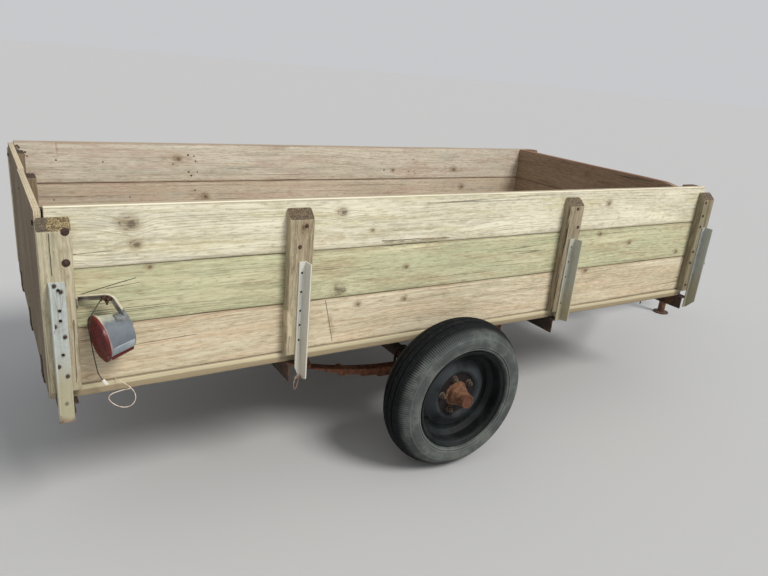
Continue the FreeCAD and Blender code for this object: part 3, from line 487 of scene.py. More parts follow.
def rubber():
    """Tyre rubber: near black tread, and sidewalls greyed by dust and weather."""
    finish = Finish("tyre rubber")
    x, y, z = finish.axes(finish.place)
    radius = from_axle(x, z)
    aside = abs(abs(y) + wheel_centre.y)
    broad, fine, grain = finish.noises((13.0, 4.0, 0.6), (260.0, 4.0, 0.7), (60.0, 4.0, 0.65))
    wall = aside.rise(0.046, 0.074)
    under_crown = tyre_radius - (aside / tread_half) ** 2 * tread_crown - radius
    side = finish.mix(broad.rise(0.4, 0.64), (73, 77, 76), (99, 103, 99))
    side = finish.mix(grain.rise(0.45, 0.75) * 0.5, side, (58, 62, 61))
    finish.colour = finish.mix(grain.rise(0.4, 0.7), (10, 12, 14), (24, 27, 30))
    # Points below the crown, the grooves, are painted near black as shade in the recesses.
    finish.lay((under_crown.rise(0.0006, 0.0030), (3, 4, 5)), (wall * 0.94, side))
    for place, share in wall_lines:
        line = abs(radius - place + (grain - 0.5) * 0.001).rise(0.0016, 0.0004) * wall
        finish.lay((line * share, (134, 136, 128)))
    shade = abs(radius - wall_groove).rise(0.0022, 0.0006) * wall
    mud = (broad + fine * 0.4).rise(0.78, 1.0)
    finish.lay((shade * 0.5, (34, 36, 36)), (mud * (wall * 0.4 + 0.1), (108, 104, 92)))
    crazing = finish.cells(finish.point(x, y * 2.0, z), 330.0)
    height = fine * 0.4 + crazing * 0.3
    return finish.close(0.70 + broad * 0.2, height, 0.0005, Specular_IOR_Level=0.22)


def lens_red():
    """Faded red plastic with a dusty face."""
    finish = Finish("lamp lens")
    broad, fine = finish.noises((34.0, 3.0, 0.6), (380.0, 3.0, 0.7))
    dots = finish.cells(finish.place, 210.0)
    finish.colour = finish.mix(broad.rise(0.35, 0.68), (88, 22, 20), (112, 34, 30))
    finish.lay(
        (dots.rise(0.5, 0.15) * 0.6, (46, 14, 14)),
        (fine.rise(0.6, 0.78) * 0.3, (144, 84, 76)),
    )
    fixed = {"Coat_Weight": 0.12, "Specular_IOR_Level": 0.3}
    return finish.close(0.34 + broad * 0.25, fine * 0.4, 0.0004, **fixed)


def wire_cover(name, base, dirt):
    finish = Finish(name)
    along, fine = finish.noises((120.0, 3.0, 0.6), (900.0, 2.0, 0.6))
    finish.colour = finish.mix(along.rise(0.42, 0.7) * 0.8, base, dirt)
    return finish.close(0.5 + along * 0.25, fine * 0.4, 0.0002)


# Shapes


def basis(axis):
    axis = Vector(axis).normalized()
    side = Vector((0, 0, 1)) if abs(axis.z) < 0.9 else Vector((1, 0, 0))
    side = (side - axis * side.dot(axis)).normalized()
    return axis, side, axis.cross(side)


def turns(count):
    """The angles of a circle's steps."""
    return [2 * math.pi * step / count for step in range(count)]


def arm(side, up, turn):
    """The direction at an angle between two axes."""
    return side * math.cos(turn) + up * math.sin(turn)


class Shape:
    """Points and faces of one piece, gathered in the frame's axes."""

    def __init__(self):
        self.points = []
        self.faces = []

    def loft(self, rings, caps=True, closed=True):
        """Joins rings of points, each as long as the next, with four-sided faces."""
        start = len(self.points)
        count = len(rings[0])
        for ring in rings:
            self.points.extend(Vector(p) for p in ring)
        for r in range(len(rings) - 1):
            for k in range(count if closed else count - 1):
                a = start + r * count + k
                b = start + r * count + (k + 1) % count
                self.faces.append((a, b, b + count, a + count))
        if caps:
            last = start + (len(rings) - 1) * count
            self.faces.append(tuple(range(start + count - 1, start - 1, -1)))
            self.faces.append(tuple(range(last, last + count)))

    def turned(self, profile, centre, axis, steps=20):
        """Revolves (radius, distance along) about an axis through the centre."""
        along, side, up = basis(axis)
        rings = []
        for radius, reach in profile:
            middle = Vector(centre) + along * reach
            rings.append([middle + arm(side, up, turn) * radius for turn in turns(steps)])
        self.loft(rings)

    def tube(self, path, radius, sides):
        """A round rod along a path of points."""
        path = [Vector(p) for p in path]
        rings = []
        side = basis(path[1] - path[0])[1]
        for index, place in enumerate(path):
            ahead = path[min(index + 1, len(path) - 1)] - path[max(index - 1, 0)]
            ahead.normalize()
            side = (side - ahead * side.dot(ahead)).normalized()
            rings.append([place + arm(side, ahead.cross(side), turn) * radius for turn in turns(sides)])
        self.loft(rings)

    def dome(self, place, out, radius, height, steps=14):
        """A rounded carriage bolt head."""
        profile = [(1.0, -0.1), (1.0, 0.15), (0.9, 0.55), (0.65, 0.88), (0.3, 1.0)]
        self.turned([(radius * r, height * h) for r, h in profile], place, out, steps)

    def nut(self, place, out, radius, height, turn=0.0, stud=0.0):
        """A hexagon nut or bolt head with its corners taken off, and the bolt's end past it."""
        along, side, up = basis(out)
        rings = []
        for share, level in ((0.94, 0.0), (1.0, 0.12), (1.0, 0.82), (0.88, 1.0)):
            middle = Vector(place) + along * height * level
            rings.append([middle + arm(side, up, turn + corner) * radius * share for corner in turns(6)])
        self.loft(rings)
        if stud:
            core = radius * 0.52
            end = height + stud
            self.turned([(core, 0.0), (core, end), (core * 0.8, end + 0.001)], place, out, 12)

    def washer(self, place, out, radius):
        thick = 0.002
        self.turned([(radius, 0.0), (radius, thick * 0.7), (radius * 0.95, thick)], place, out, 18)

    def since(self, start, change):
        """Moves every point from start on by a function of its place."""
        for index in range(start, len(self.points)):
            self.points[index] = Vector(change(self.points[index]))

    def board(self, low, high, along, seed, edge=0.004, wear=0.0016, chips=()):
        """A sawn board. Its four long edges are rounded, wander inward a little, and break away
        where chips says: (from, to, depth, which corner), measured from the board's low end."""
        a, b = [k for k in (X, Y, Z) if k != along]
        length = high[along] - low[along]
        spans = round(length / board_pace)
        stops = {0.0, edge * 0.3, edge, length - edge, length - edge * 0.3, length}
        stops.update(length * k / max(2, spans) for k in range(1, spans))
        for begin, end, depth, corner in chips:
            span = round((end - begin) / chip_pace)
            stops.update(begin + (end - begin) * k / span for k in range(span + 1))
        rings = []
        corners = ((1, 1), (-1, 1), (-1, -1), (1, -1))
        for stop in sorted(stops):
            to_end = min(stop, length - stop)
            inset = edge * 0.55 if to_end < edge * 0.2 else edge * 0.18 if to_end < edge * 0.6 else 0.0
            ring = []
            for index, (sa, sb) in enumerate(corners):
                slow = noise.noise((stop * 2.3, seed * 7.1, index * 3.7))
                quick = noise.noise((stop * 19.0, seed * 5.3, index * 9.1))
                lost = wear * (max(slow, 0) * 1.3 + abs(quick) * 0.5)
                for begin, end, depth, corner in chips:
                    if corner == index and begin < stop < end:
                        taper = min(1.0, (stop - begin) / 0.02, (end - stop) / 0.02)
                        ragged = 0.55 + 0.75 * noise.noise((stop * 55.0, seed, 2.0))
                        lost += depth * taper * max(0.1, ragged)
                round_off = edge + lost * 0.8
                pa = (high[a] if sa > 0 else low[a]) - sa * (inset + lost + round_off)
                pb = (high[b] if sb > 0 else low[b]) - sb * (inset + lost * 0.6 + round_off)
                for quarter in range(4):
                    turn = math.pi / 2 * (index + quarter / 3)
                    place = [0.0, 0.0, 0.0]
                    place[along] = low[along] + stop
                    place[a] = pa + round_off * math.cos(turn)
                    place[b] = pb + round_off * math.sin(turn)
                    ring.append(place)
                # Two points that hold the face flat between this corner and the next
                level = b if index % 2 == 0 else a
                run = a if level == b else b
                for signs in (corners[index], corners[(index + 1) % 4]):
                    sign = {a: signs[0], b: signs[1]}
                    hold = min(0.016, 0.3 * (high[run] - low[run]))
                    place = [0.0, 0.0, 0.0]
                    place[along] = low[along] + stop
                    place[run] = (high[run] - hold) if sign[run] > 0 else (low[run] + hold)
                    place[level] = (high[level] - inset) if sign[level] > 0 else (low[level] + inset)
                    ring.append(place)
            rings.append(ring)
        self.loft(rings)


# Steps along a board and along a chip in its edge, and the edge length from which a face is flat
board_pace = 0.04
chip_pace = 0.006
flat_face = 0.05


def piece(name, shape, finish, replaced=(), body="chassis", smooth=38):
    """Makes the mesh, and says what it rides on, stands for and is finished as."""
    mesh = bpy.data.meshes.new(name)
    mesh.from_pydata(shape.points, [], shape.faces)
    work = bmesh.new()
    work.from_mesh(mesh)
    bmesh.ops.recalc_face_normals(work, faces=work.faces)
    work.to_mesh(mesh)
    work.free()
    mesh.shade_smooth()
    mesh.set_sharp_from_angle(angle=math.radians(smooth))
    for face in mesh.polygons:
        corners = [mesh.vertices[index].co for index in face.vertices]
        if len(corners) == 4 and max((corners[k] - corners[k - 1]).length for k in range(4)) > flat_face:
            face.use_smooth = False
    mesh.materials.append(finish)
    made = bpy.data.objects.new(name, mesh)
    bpy.context.scene.collection.objects.link(made)
    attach(made, body)
    if replaced:
        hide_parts(*replaced)
    return made


def dress(names, finish, edge):
    """Gives CAD nodes a finish, and breaks their sharp edges by a small bevel."""
    for name in names:
        node = nodes[name]
        node.data.materials.clear()
        node.data.materials.append(finish)
        weld = node.modifiers.new("weld", "WELD")
        weld.merge_threshold = 0.00002
        bevel = node.modifiers.new("edges", "BEVEL")
        bevel.width = edge
        bevel.segments = 2
        bevel.angle_limit = math.radians(40)
        bevel.harden_normals = True


# Deck, sides and front panel


def random_knots(seed, count, low, high):
    """Places across a board for knots that the photograph doesn't give."""
    draw = random.Random(seed)
    knots = []
    for index in range(count):
        along = low[0] + (high[0] - low[0]) * (index + draw.uniform(0.15, 0.85)) / count
        across = draw.uniform(low[1] + 0.03, high[1] - 0.03)
        knots.append(((along, across), draw.uniform(0.007, 0.017)))
    return knots


def moved(looks, along, across):
    """The same looks, with the places of their marks moved on the board's two flat axes."""
    marks = {}
    for kind in ("knots", "scratches", "smears"):
        marks[kind] = [
            [(part[0] + along, part[1] + across) if isinstance(part, tuple) and len(part) == 2 else part
             for part in mark]
            for mark in looks.get(kind, ())
        ]
    return {**looks, **marks}


# The boards of a side, from the bottom. Places on a near board are from the rear and above the
# ground: knots are (place, radius), scratches (start, end, width) and smears (start, end, width,
# tint, share). Chips are along the board.
near_boards = {
    "low": {
        "tones": ((223, 212, 184), (201, 187, 158), (150, 128, 98), (132, 110, 86)),
        "tints": (((214, 190, 158), 0.46, 0.60, 0.7), ((188, 178, 146), 0.50, 0.62, 0.6)),
        "knots": (((1.023, 0.686), 0.010), ((1.231, 0.684), 0.009), ((2.249, 0.712), 0.013)),
        "scratches": (((0.887, 0.714), (0.925, 0.549), 0.0014), ((0.10, 0.640), (0.42, 0.652), 0.0010)),
        "smears": (((0.905, 0.650), (0.920, 0.590), 0.014, (150, 130, 100), 0.6),),
    },
    "middle": {
        "tones": ((215, 210, 174), (193, 188, 152), (142, 132, 102), (124, 114, 88)),
        "tints": (((180, 186, 148), 0.42, 0.56, 0.6), ((186, 170, 136), 0.50, 0.62, 0.7)),
        "knots": (
            ((0.276, 0.898), 0.008), ((0.934, 0.752), 0.020), ((1.225, 0.817), 0.009),
            ((2.304, 0.886), 0.011), ((2.528, 0.828), 0.010), ((2.922, 0.754), 0.011),
        ),
        "scratches": (((0.082, 0.829), (0.235, 0.866), 0.0020), ((0.150, 0.838), (0.245, 0.850), 0.0010)),
        "smears": (
            ((1.125, 0.908), (1.365, 0.910), 0.006, (150, 134, 106), 0.6),
            ((0.880, 0.758), (0.985, 0.752), 0.022, (214, 210, 176), 0.6),
            ((0.926, 0.756), (0.962, 0.748), 0.013, (84, 74, 54), 0.9),
        ),
    },
    "top": {
        "tones": ((238, 232, 208), (214, 206, 180), (158, 146, 114), (140, 126, 100)),
        "tints": (((206, 196, 152), 0.50, 0.62, 0.6), ((190, 186, 170), 0.50, 0.60, 0.5)),
        "knots": (
            ((0.222, 1.035), 0.019), ((0.239, 0.971), 0.012), ((0.934, 1.042), 0.013),
            ((1.061, 0.970), 0.006), ((2.322, 1.030), 0.012),
        ),
        "scratches": (
            ((0.02, 0.948), (0.17, 0.956), 0.0011),
            ((1.107, 0.9255), (1.26, 0.9235), 0.0019),
            ((1.26, 0.9235), (1.42, 0.9205), 0.0014),
        ),
        "smears": (
            ((1.115, 0.920), (1.405, 0.918), 0.0050, (150, 132, 104), 0.85),
            ((1.110, 0.9135), (1.400, 0.9135), 0.0035, (190, 186, 150), 0.8),
            ((0.846, 0.940), (0.930, 0.948), 0.022, (188, 168, 132), 0.5),
        ),
    },
}
near_chips = {
    "low": [(2.0, 2.28, 0.004, 3)],
    "middle": [(1.115, 1.375, 0.005, 1), (0.62, 0.70, 0.004, 1), (2.26, 2.33, 0.004, 1)],
    "top": [(2.02, 2.30, 0.003, 3)],
}
far_tones = {
    "low": ((188, 174, 152), (168, 150, 128), (130, 110, 88), (112, 86, 68)),
    "middle": ((212, 198, 178), (192, 176, 154), (150, 130, 106), (126, 96, 76)),
    "top": ((221, 213, 196), (203, 193, 175), (160, 142, 116), (136, 108, 86)),
}
far_tints = (((191, 164, 150), 0.48, 0.62, 0.6), ((176, 172, 158), 0.50, 0.62, 0.6))
# The top boards' upper edges: the colours of their outer and inner parts, how strong they are,
# and how far in the outer part reaches. The near one's pale outer part is partly bleached wood
# and partly a painted highlight. A stain has run down inside the far one.
rims = {
    RIGHT: ((244, 238, 214), (172, 156, 130), 0.8, 0.012),
    LEFT: ((170, 156, 132), (150, 136, 114), 0.6, 0.020),
}
far_stain = (0.165, 0.004)


def side_boards():
    for index, (row, near_looks) in enumerate(near_boards.items()):
        for side, word in sides:
            node = "side_board_" + word + "_" + row
            low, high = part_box(node)
            if side == RIGHT:
                seed = index + 1.0
                chips = near_chips[row]
                looks = moved(near_looks, rear, 0.0)
                looks["wear"] = 0.35
            else:
                seed = index + 11.0
                chips = [(0.4 + index, 0.9 + index, 0.003, 0)]
                looks = {"tones": far_tones[row], "tints": far_tints, "wear": 0.6}
                looks["knots"] = random_knots(seed, 3, (low.x + 0.4, low.z), (high.x, high.z))
            if row == "top":
                looks["rim"] = rims[side]
                if side == LEFT:
                    place = (rear + far_stain[0], high.z - far_stain[1])
                    looks["runs"] = [(place, 0.085, 0.008, (150, 98, 78))]
            looks["edge_dirt"] = (low.z, high.z, 0.010)
            looks.update(first=low.z, pitch=high.z - low.z, face=side_face * side, depth=-0.05 * side)
            finish = wood("side board " + word + "_" + row, (X, Z, Y), seed, **looks)
            shape = Shape()
            shape.board(low, high, X, seed, edge=0.0035, wear=0.0018, chips=chips)
            piece("board_" + word + "_" + row, shape, finish, [node])


def deck():
    low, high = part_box("deck_planks")
    count = 7
    gap = 0.005
    width = (high.y - low.y - gap * (count - 1)) / count
    shape = Shape()
    for row in range(count):
        y = low.y + row * (width + gap)
        end = 0.002 * (row % 3)
        shape.board((low.x + end, y, low.z), (high.x - end, y + width, high.z), X, row + 40, wear=0.0022)
    tones = ((192, 182, 158), (170, 158, 134), (126, 111, 88), (108, 94, 74))
    looks = {"first": low.y, "pitch": width + gap, "face": high.z, "wear": 0.9, "spread": 0.35}
    looks["knots"] = random_knots(5, 6, (low.x, low.y), (high.x, high.y))
    looks["edge_dirt"] = (low.y, high.y, 0.012)
    # The planks' side edges are paler by the top and darker below: partly weathering, partly painted light.
    looks["rim"] = ((204, 192, 158), (156, 140, 110), 0.8, 0.016)
    finish = wood("deck plank", (X, Y, Z), 21.0, tones, **looks)
    piece("deck_boards", shape, finish, ["deck_planks"])


def front_panel():
    low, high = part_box("front_boards")
    count = 3
    gap = 0.001
    pitch = (high.z - low.z + gap) / count
    worn_width = 0.120
    worn_drop = 0.026
    shape = Shape()
    for row in range(count):
        z = low.z + row * pitch
        shape.board((low.x, low.y, z), (high.x, high.y, z + pitch - gap), Y, row + 60, wear=0.0024)

    def worn(p):
        share = max(0.0, 1 - (p.y - low.y) / worn_width)
        top = high.z - worn_drop * share - 0.004 * share * noise.noise((p.y * 60, p.x * 90, 3))
        return (p.x, p.y, min(p.z, top))

    shape.since(len(shape.points) // count * 2, worn)
    tones = ((162, 140, 117), (146, 122, 99), (106, 83, 64), (120, 76, 53))
    looks = {"first": low.z, "pitch": pitch, "face": low.x, "depth": -0.05}
    looks.update(cracks=1.3, wear=0.9, spread=0.3, edge_dirt=(low.z, high.z, 0.010))
    looks["knots"] = random_knots(8, 4, (low.y, low.z), (high.y, high.z))
    finish = wood("front board", (Y, Z, X), 31.0, tones, **looks)
    piece("front_panel", shape, finish, ["front_boards"])
    low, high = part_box("front_corner_posts")
    posts = Shape()
    for y in (low.y, high.y - stake_thick):
        posts.board((low.x, y, low.z), (high.x, y + stake_thick, high.z), Z, 70 + y, wear=0.002)
    tones = ((148, 118, 94), (126, 98, 76), (92, 68, 50), (98, 62, 44))
    looks = {"first": low.x, "pitch": high.x - low.x, "face": low.y, "wear": 0.8, "end_tone": (120, 84, 62)}
    finish = wood("front post", (Z, X, Y), 35.0, tones, **looks)
    piece("front_posts", posts, finish, ["front_corner_posts"])


# Wooden stakes. Each has its rear edge's place from the rear, and how it has weathered. A near
# stake's own marks are placed above the ground and forward of its rear edge.
stake_width = 0.089
stake_thick = 0.038
stake_bevel = 0.035
stake_bevel_height = 0.06
stakes = (
    (-0.025, ((200, 191, 164), (176, 166, 140), (134, 115, 84), (112, 96, 72)), (184, 164, 120)),
    (0.721, ((190, 178, 150), (164, 151, 124), (114, 98, 74), (92, 76, 56)), (138, 120, 94)),
    (2.034, ((168, 154, 128), (144, 130, 106), (104, 90, 68), (86, 70, 50)), (142, 124, 98)),
    (3.005, ((156, 146, 118), (132, 122, 98), (94, 84, 64), (80, 68, 50)), (136, 120, 96)),
)
stake_places = [stake[0] for stake in stakes]
near_stake_marks = (
    {
        "scratches": (((1.025, 0.031), (0.905, 0.032), 0.0016), ((0.765, 0.078), (0.565, 0.074), 0.0010)),
        "tints": (((170, 168, 144), 0.5, 0.62, 0.6),),
        "end_left": (112, 102, 86),
    },
    {
        "knots": (((1.000, 0.052), 0.013),),
        "smears": (((0.699, 0.002), (0.620, 0.014), 0.013, (206, 190, 160), 0.8),),
    },
    {},
    {"smears": (((1.053, 0.055), (1.020, 0.058), 0.009, (150, 84, 60), 0.6),)},
)


def wooden_stakes():
    low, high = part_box("wooden_stakes_right")
    for side, word in sides:
        for index, (place, tones, end_tone) in enumerate(stakes):
            x = rear + place
            y = sorted((side * side_face, side * stake_face))
            seed = 80 + index + (0 if side == RIGHT else 9)
            start, end = (x, y[0], low.z), (x + stake_width, y[1], high.z)
            shape = Shape()
            shape.board(start, end, Z, seed, edge=0.0045, wear=0.002)

            def slope(p):
                out = (abs(p.y) - abs(side_face)) / stake_thick
                share = (p.z - (high.z - stake_bevel_height)) / stake_bevel_height
                share = max(0.0, min(1.0, share))
                rag = 0.002 * noise.noise((p.x * 90, p.y * 90, seed))
                return (p.x, p.y, p.z - share * (stake_bevel * out + max(0.0, rag)))

            shape.since(0, slope)
            looks = moved(near_stake_marks[index], 0.0, x) if side == RIGHT else {}
            looks.update(first=x, pitch=stake_width, face=side * stake_face, depth=-0.03 * side)
            looks.update(ring_gap=0.0050, rings=1.0, streaks=0.7, fibres=0.6, cracks=1.4, wear=0.7)
            name = word + " " + str(index + 1)
            finish = wood("stake " + name, (Z, X, Y), 50.0 + seed, tones, end_tone=end_tone, **looks)
            name = "stake_" + name.replace(" ", "_")
            piece(name, shape, finish, ["wooden_stakes_" + word])


# Fasteners on the sides. Places are from the rear and above the ground.
wood_bolts = (
    (0.047, 1.029), (0.044, 0.939), (0.780, 1.009), (0.758, 0.937), (2.080, 1.020), (2.101, 0.937),
    (3.023, 1.017), (3.025, 0.948), (3.026, 0.891), (3.018, 0.756), (3.016, 0.696), (3.022, 0.572),
)
steel_bolts = (
    (0.009, 0.876), (0.003, 0.753), (0.025, 0.857), (0.027, 0.718), (0.005, 0.626), (0.026, 0.592),
)
far_nails = (
    (0.041, 1.046), (0.036, 1.033), (0.743, 1.038), (0.772, 1.034), (0.747, 0.955), (0.776, 0.864),
    (0.139, 0.832), (0.159, 1.012), (0.353, 1.004), (0.670, 0.994), (0.465, 0.837), (1.880, 0.960),
)
# Holes in the steel stakes' legs: how far from the rear, and their heights
steel_holes = (
    (0.018, (0.861, 0.799, 0.768, 0.661)),
    (0.7685, (0.845, 0.776, 0.706, 0.652, 0.595)),
    (2.0775, (0.848, 0.778, 0.707, 0.580)),
    (3.0535, (0.862, 0.792, 0.737, 0.625)),
)
# A bent tie wire under the second steel stake: from the rear, out and above the ground
tie_wire = (
    (0.768, 0.0438, 0.462), (0.761, 0.0445, 0.448), (0.755, 0.0455, 0.430), (0.754, 0.0465, 0.412),
    (0.758, 0.0470, 0.403), (0.764, 0.0465, 0.408), (0.769, 0.0455, 0.422), (0.773, 0.0445, 0.438),
    (0.774, 0.0440, 0.448),
)
# How far out the holes' backs and the steel's nuts lie, and the spacer at the first one's foot
hole_out = 0.0382
nut_out = 0.0432
spacer_place = (0.0225, 0.004, 0.4715)
spacer = ((0.0190, 0.0), (0.0205, 0.002), (0.0205, 0.032), (0.0190, 0.034))
# Bolts nearer to the rear than this are on the first stake, and are larger
first_stake_end = 0.1
# Rows of nails through each stake's place inside: their heights, and places across the stake
nail_rows = 3
nail_pitch = 0.185
nails_from_deck = 0.045
nail_shifts = (0.02, 0.065)
nail_first = 0.012
nail_last = 3.03


def hole_dirt(dark, wire):
    """Near-black discs behind the steel stakes' holes, painted shade for the deep holes, and a bent wire at
    one foot.
    """
    disc = ((0.0060, 0.0), (0.0060, 0.0006), (0.0030, 0.0010))
    for side, word in sides:
        shape = Shape()
        for x, heights in steel_holes:
            for z in heights:
                shape.turned(disc, spot(x, hole_out, z, side), (0, -side, 0), 16)
        piece("hole_dirt_" + word, shape, dark)
    shape = Shape()
    shape.tube([spot(*point) for point in tie_wire], 0.0013, 8)
    piece("tie_wire", shape, wire)


def fasteners(rusted):
    """Bolts outside, nails and bolt ends inside, and the spacer at the first steel stake's foot."""
    draw = random.Random(7)
    for side, word in sides:
        out = (0, -side, 0)
        shape = Shape()
        for x, z in wood_bolts:
            place = spot(x, stake_thick, z, side)
            size = 0.0092 if x < first_stake_end else 0.0070
            if x < first_stake_end:
                shape.washer(place + Vector((0, side * 0.0006, 0)), out, size * 1.25)
            shape.dome(place + Vector((0, side * 0.0004, 0)), out, size, 0.0048)
        for x, z in steel_bolts:
            shape.nut(spot(x, nut_out, z, side), out, 0.0052, 0.0040, draw.uniform(0, 1), 0.001)
        shape.turned(spacer, spot(*spacer_place, side), out, 28)
        piece("stake_bolts_" + word, shape, rusted)
        inner = Shape()
        y = -side * (abs(side_inner) + 0.0003)
        for x, z in far_nails + wood_bolts:
            inner.dome((rear + x, y, z), (0, side, 0), draw.uniform(0.0032, 0.0052), 0.0016, 10)
        for place in stake_places:
            for row in range(nail_rows):
                z = deck_top + nails_from_deck + row * nail_pitch + draw.uniform(-0.01, 0.01)
                for shift in nail_shifts:
                    x = rear + min(place + shift + draw.uniform(-0.008, 0.008), nail_last)
                    x = max(x, rear + nail_first)
                    inner.dome((x, y, z), (0, side, 0), 0.0034, 0.0014, 10)
        piece("board_nails_" + word, inner, rusted)


# Wheels

# The outer half of the tyre's side, from the rim out: distance from its middle, and radius. The
# shoulder's fine bars are cut into the points from bars_start to bars_end.
tyre_wall = (
    (0.0657, 0.1946), (0.0697, 0.1988), (0.0697, 0.2085), (0.0735, 0.2106), (0.0790, 0.2128),
    (0.0817, 0.2140), (0.0823, 0.2160), (0.0838, 0.2168), (0.0849, 0.2186), (0.0850, 0.2206),
    (0.0843, 0.2216), (0.0852, 0.2236), (0.0864, 0.2256), (0.0874, 0.2264), (0.0880, 0.2286),
    (0.0878, 0.2300), (0.0889, 0.2360), (0.0896, 0.2420), (0.0900, 0.2490), (0.0894, 0.2550),
    (0.0882, 0.2600), (0.0869, 0.2638), (0.0868, 0.2652), (0.0861, 0.2668), (0.0850, 0.2676),
    (0.0838, 0.2690), (0.0806, 0.2737), (0.0770, 0.2790), (0.0730, 0.2850), (0.0680, 0.2888),
    (0.0620, 0.2930), (0.0560, 0.2972), (0.0510, 0.3004), (0.0474, 0.3024), (0.0456, 0.3030),
)
bars_start = 0.2690
bars_end = 0.3004
# The tread, from its edge to its middle: distance from the middle, depth under the crown, and cut
tread_half = 0.044
tread_crown = 0.011
tyre_tread = (
    (0.0440, 0.0, "rib"), (0.0380, 0.0, "rib"), (0.0372, 0.0022, "groove"),
    (0.0356, 0.0022, "groove"), (0.0348, 0.0, "edge"), (0.0304, 0.0, "edge"),
    (0.0284, 0.0060, "groove"), (0.0236, 0.0060, "groove"), (0.0216, 0.0, "edge"),
    (0.0142, 0.0, "rib"), (0.0136, 0.0020, "groove"), (0.0122, 0.0020, "groove"),
    (0.0116, 0.0, "rib"), (0.0046, 0.0, "edge"), (0.0024, 0.0062, "groove"),
)
tyre_steps = 600
bar_steps = 3
tread_waves = 60


def tyre(side, word, finish):
    half = [(s, r, "bar" if bars_start <= r <= bars_end else "plain") for s, r in tyre_wall]
    for s, drop, cut in tyre_tread:
        half.append((s, tyre_radius - tread_crown * (s / tread_half) ** 2 - drop, cut))
    section = half + [(-s, r, cut) for s, r, cut in reversed(half)]
    centre_y = side * wheel_centre.y
    rings = []
    for step, turn in enumerate(turns(tyre_steps)):
        between = step % bar_steps == bar_steps - 1
        sway = 0.0008 * math.sin(turn * tread_waves)
        ring = []
        for s, r, cut in section:
            if cut == "bar" and between:
                depth = 0.0034 * min(1.0, (r - bars_start) / 0.010)
                s -= math.copysign(depth * 0.8, s)
                r -= depth * 0.6
            if cut == "rib" and between:
                r -= 0.0008 if abs(s) < 0.03 else 0.0018
            if cut in ("edge", "groove"):
                s += sway
            x = wheel_centre.x + r * math.cos(turn)
            ring.append((x, centre_y + s, wheel_centre.z + r * math.sin(turn)))
        rings.append(ring)
    shape = Shape()
    shape.loft(rings + [rings[0]], caps=False, closed=False)
    name = "tyre_" + word
    piece(name + "_tread", shape, finish, [name], word + "_wheel", 32)


stud_count = 5
stud_circle = 0.06985
stud_turn = math.radians(32.4)
disc_out = 0.018
stud_out = 0.0382
nut_seat = ((0.0150, 0.0), (0.0148, 0.0016), (0.0125, 0.0034))
stud_end = ((0.0062, -0.002), (0.0062, 0.0016), (0.0048, 0.0030))
valve_stem = ((0.0062, -0.004), (0.0062, 0.004), (0.0040, 0.010), (0.0040, 0.026), (0.0036, 0.034))
valve_turn = math.radians(205)
valve_circle = 0.172
valve_out = 0.016


def wheel_fittings(side, word, rusted, painted):
    """The washers under the nuts, the studs' ends and the valve."""
    centre = Vector((wheel_centre.x, side * wheel_centre.y, wheel_centre.z))
    out = Vector((0, -side, 0))
    ahead, up = Vector((1, 0, 0)), Vector((0, 0, 1))
    shape = Shape()
    for turn in turns(stud_count):
        place = centre + arm(ahead, up, turn + stud_turn) * stud_circle
        shape.turned(nut_seat, place + out * disc_out, out, 18)
        shape.turned(stud_end, place + out * stud_out, out, 12)
    piece("nut_seats_" + word, shape, rusted, body=word + "_wheel")
    valve = Shape()
    outward = arm(ahead, up, valve_turn)
    lean = (out * 0.85 - outward * 0.5).normalized()
    valve.turned(valve_stem, centre + outward * valve_circle + out * valve_out, lean, 14)
    piece("valve_" + word, valve, painted, body=word + "_wheel")


# Tailgate

gate_seam = 0.001
gate_lean = 0.0035
gate_layer = 0.0032
# Screws along each batten: from its foot or down from its top, and across it
batten_screws = (0.06, 0.26)
batten_top_screw = 0.05
screw_shifts = (0.022, 0.066)
# The hinge straps' bolts: across the gate, and above its foot
strap_places = (-0.45, 0.45)
strap_bolts = (0.04, 0.075, 0.11)
# The latch's bends: ahead of the gate's face, and down from its top
latch_bends = ((-0.002, 0.045), (0.003, 0.012), (0.017, 0.006), (0.025, 0.018))


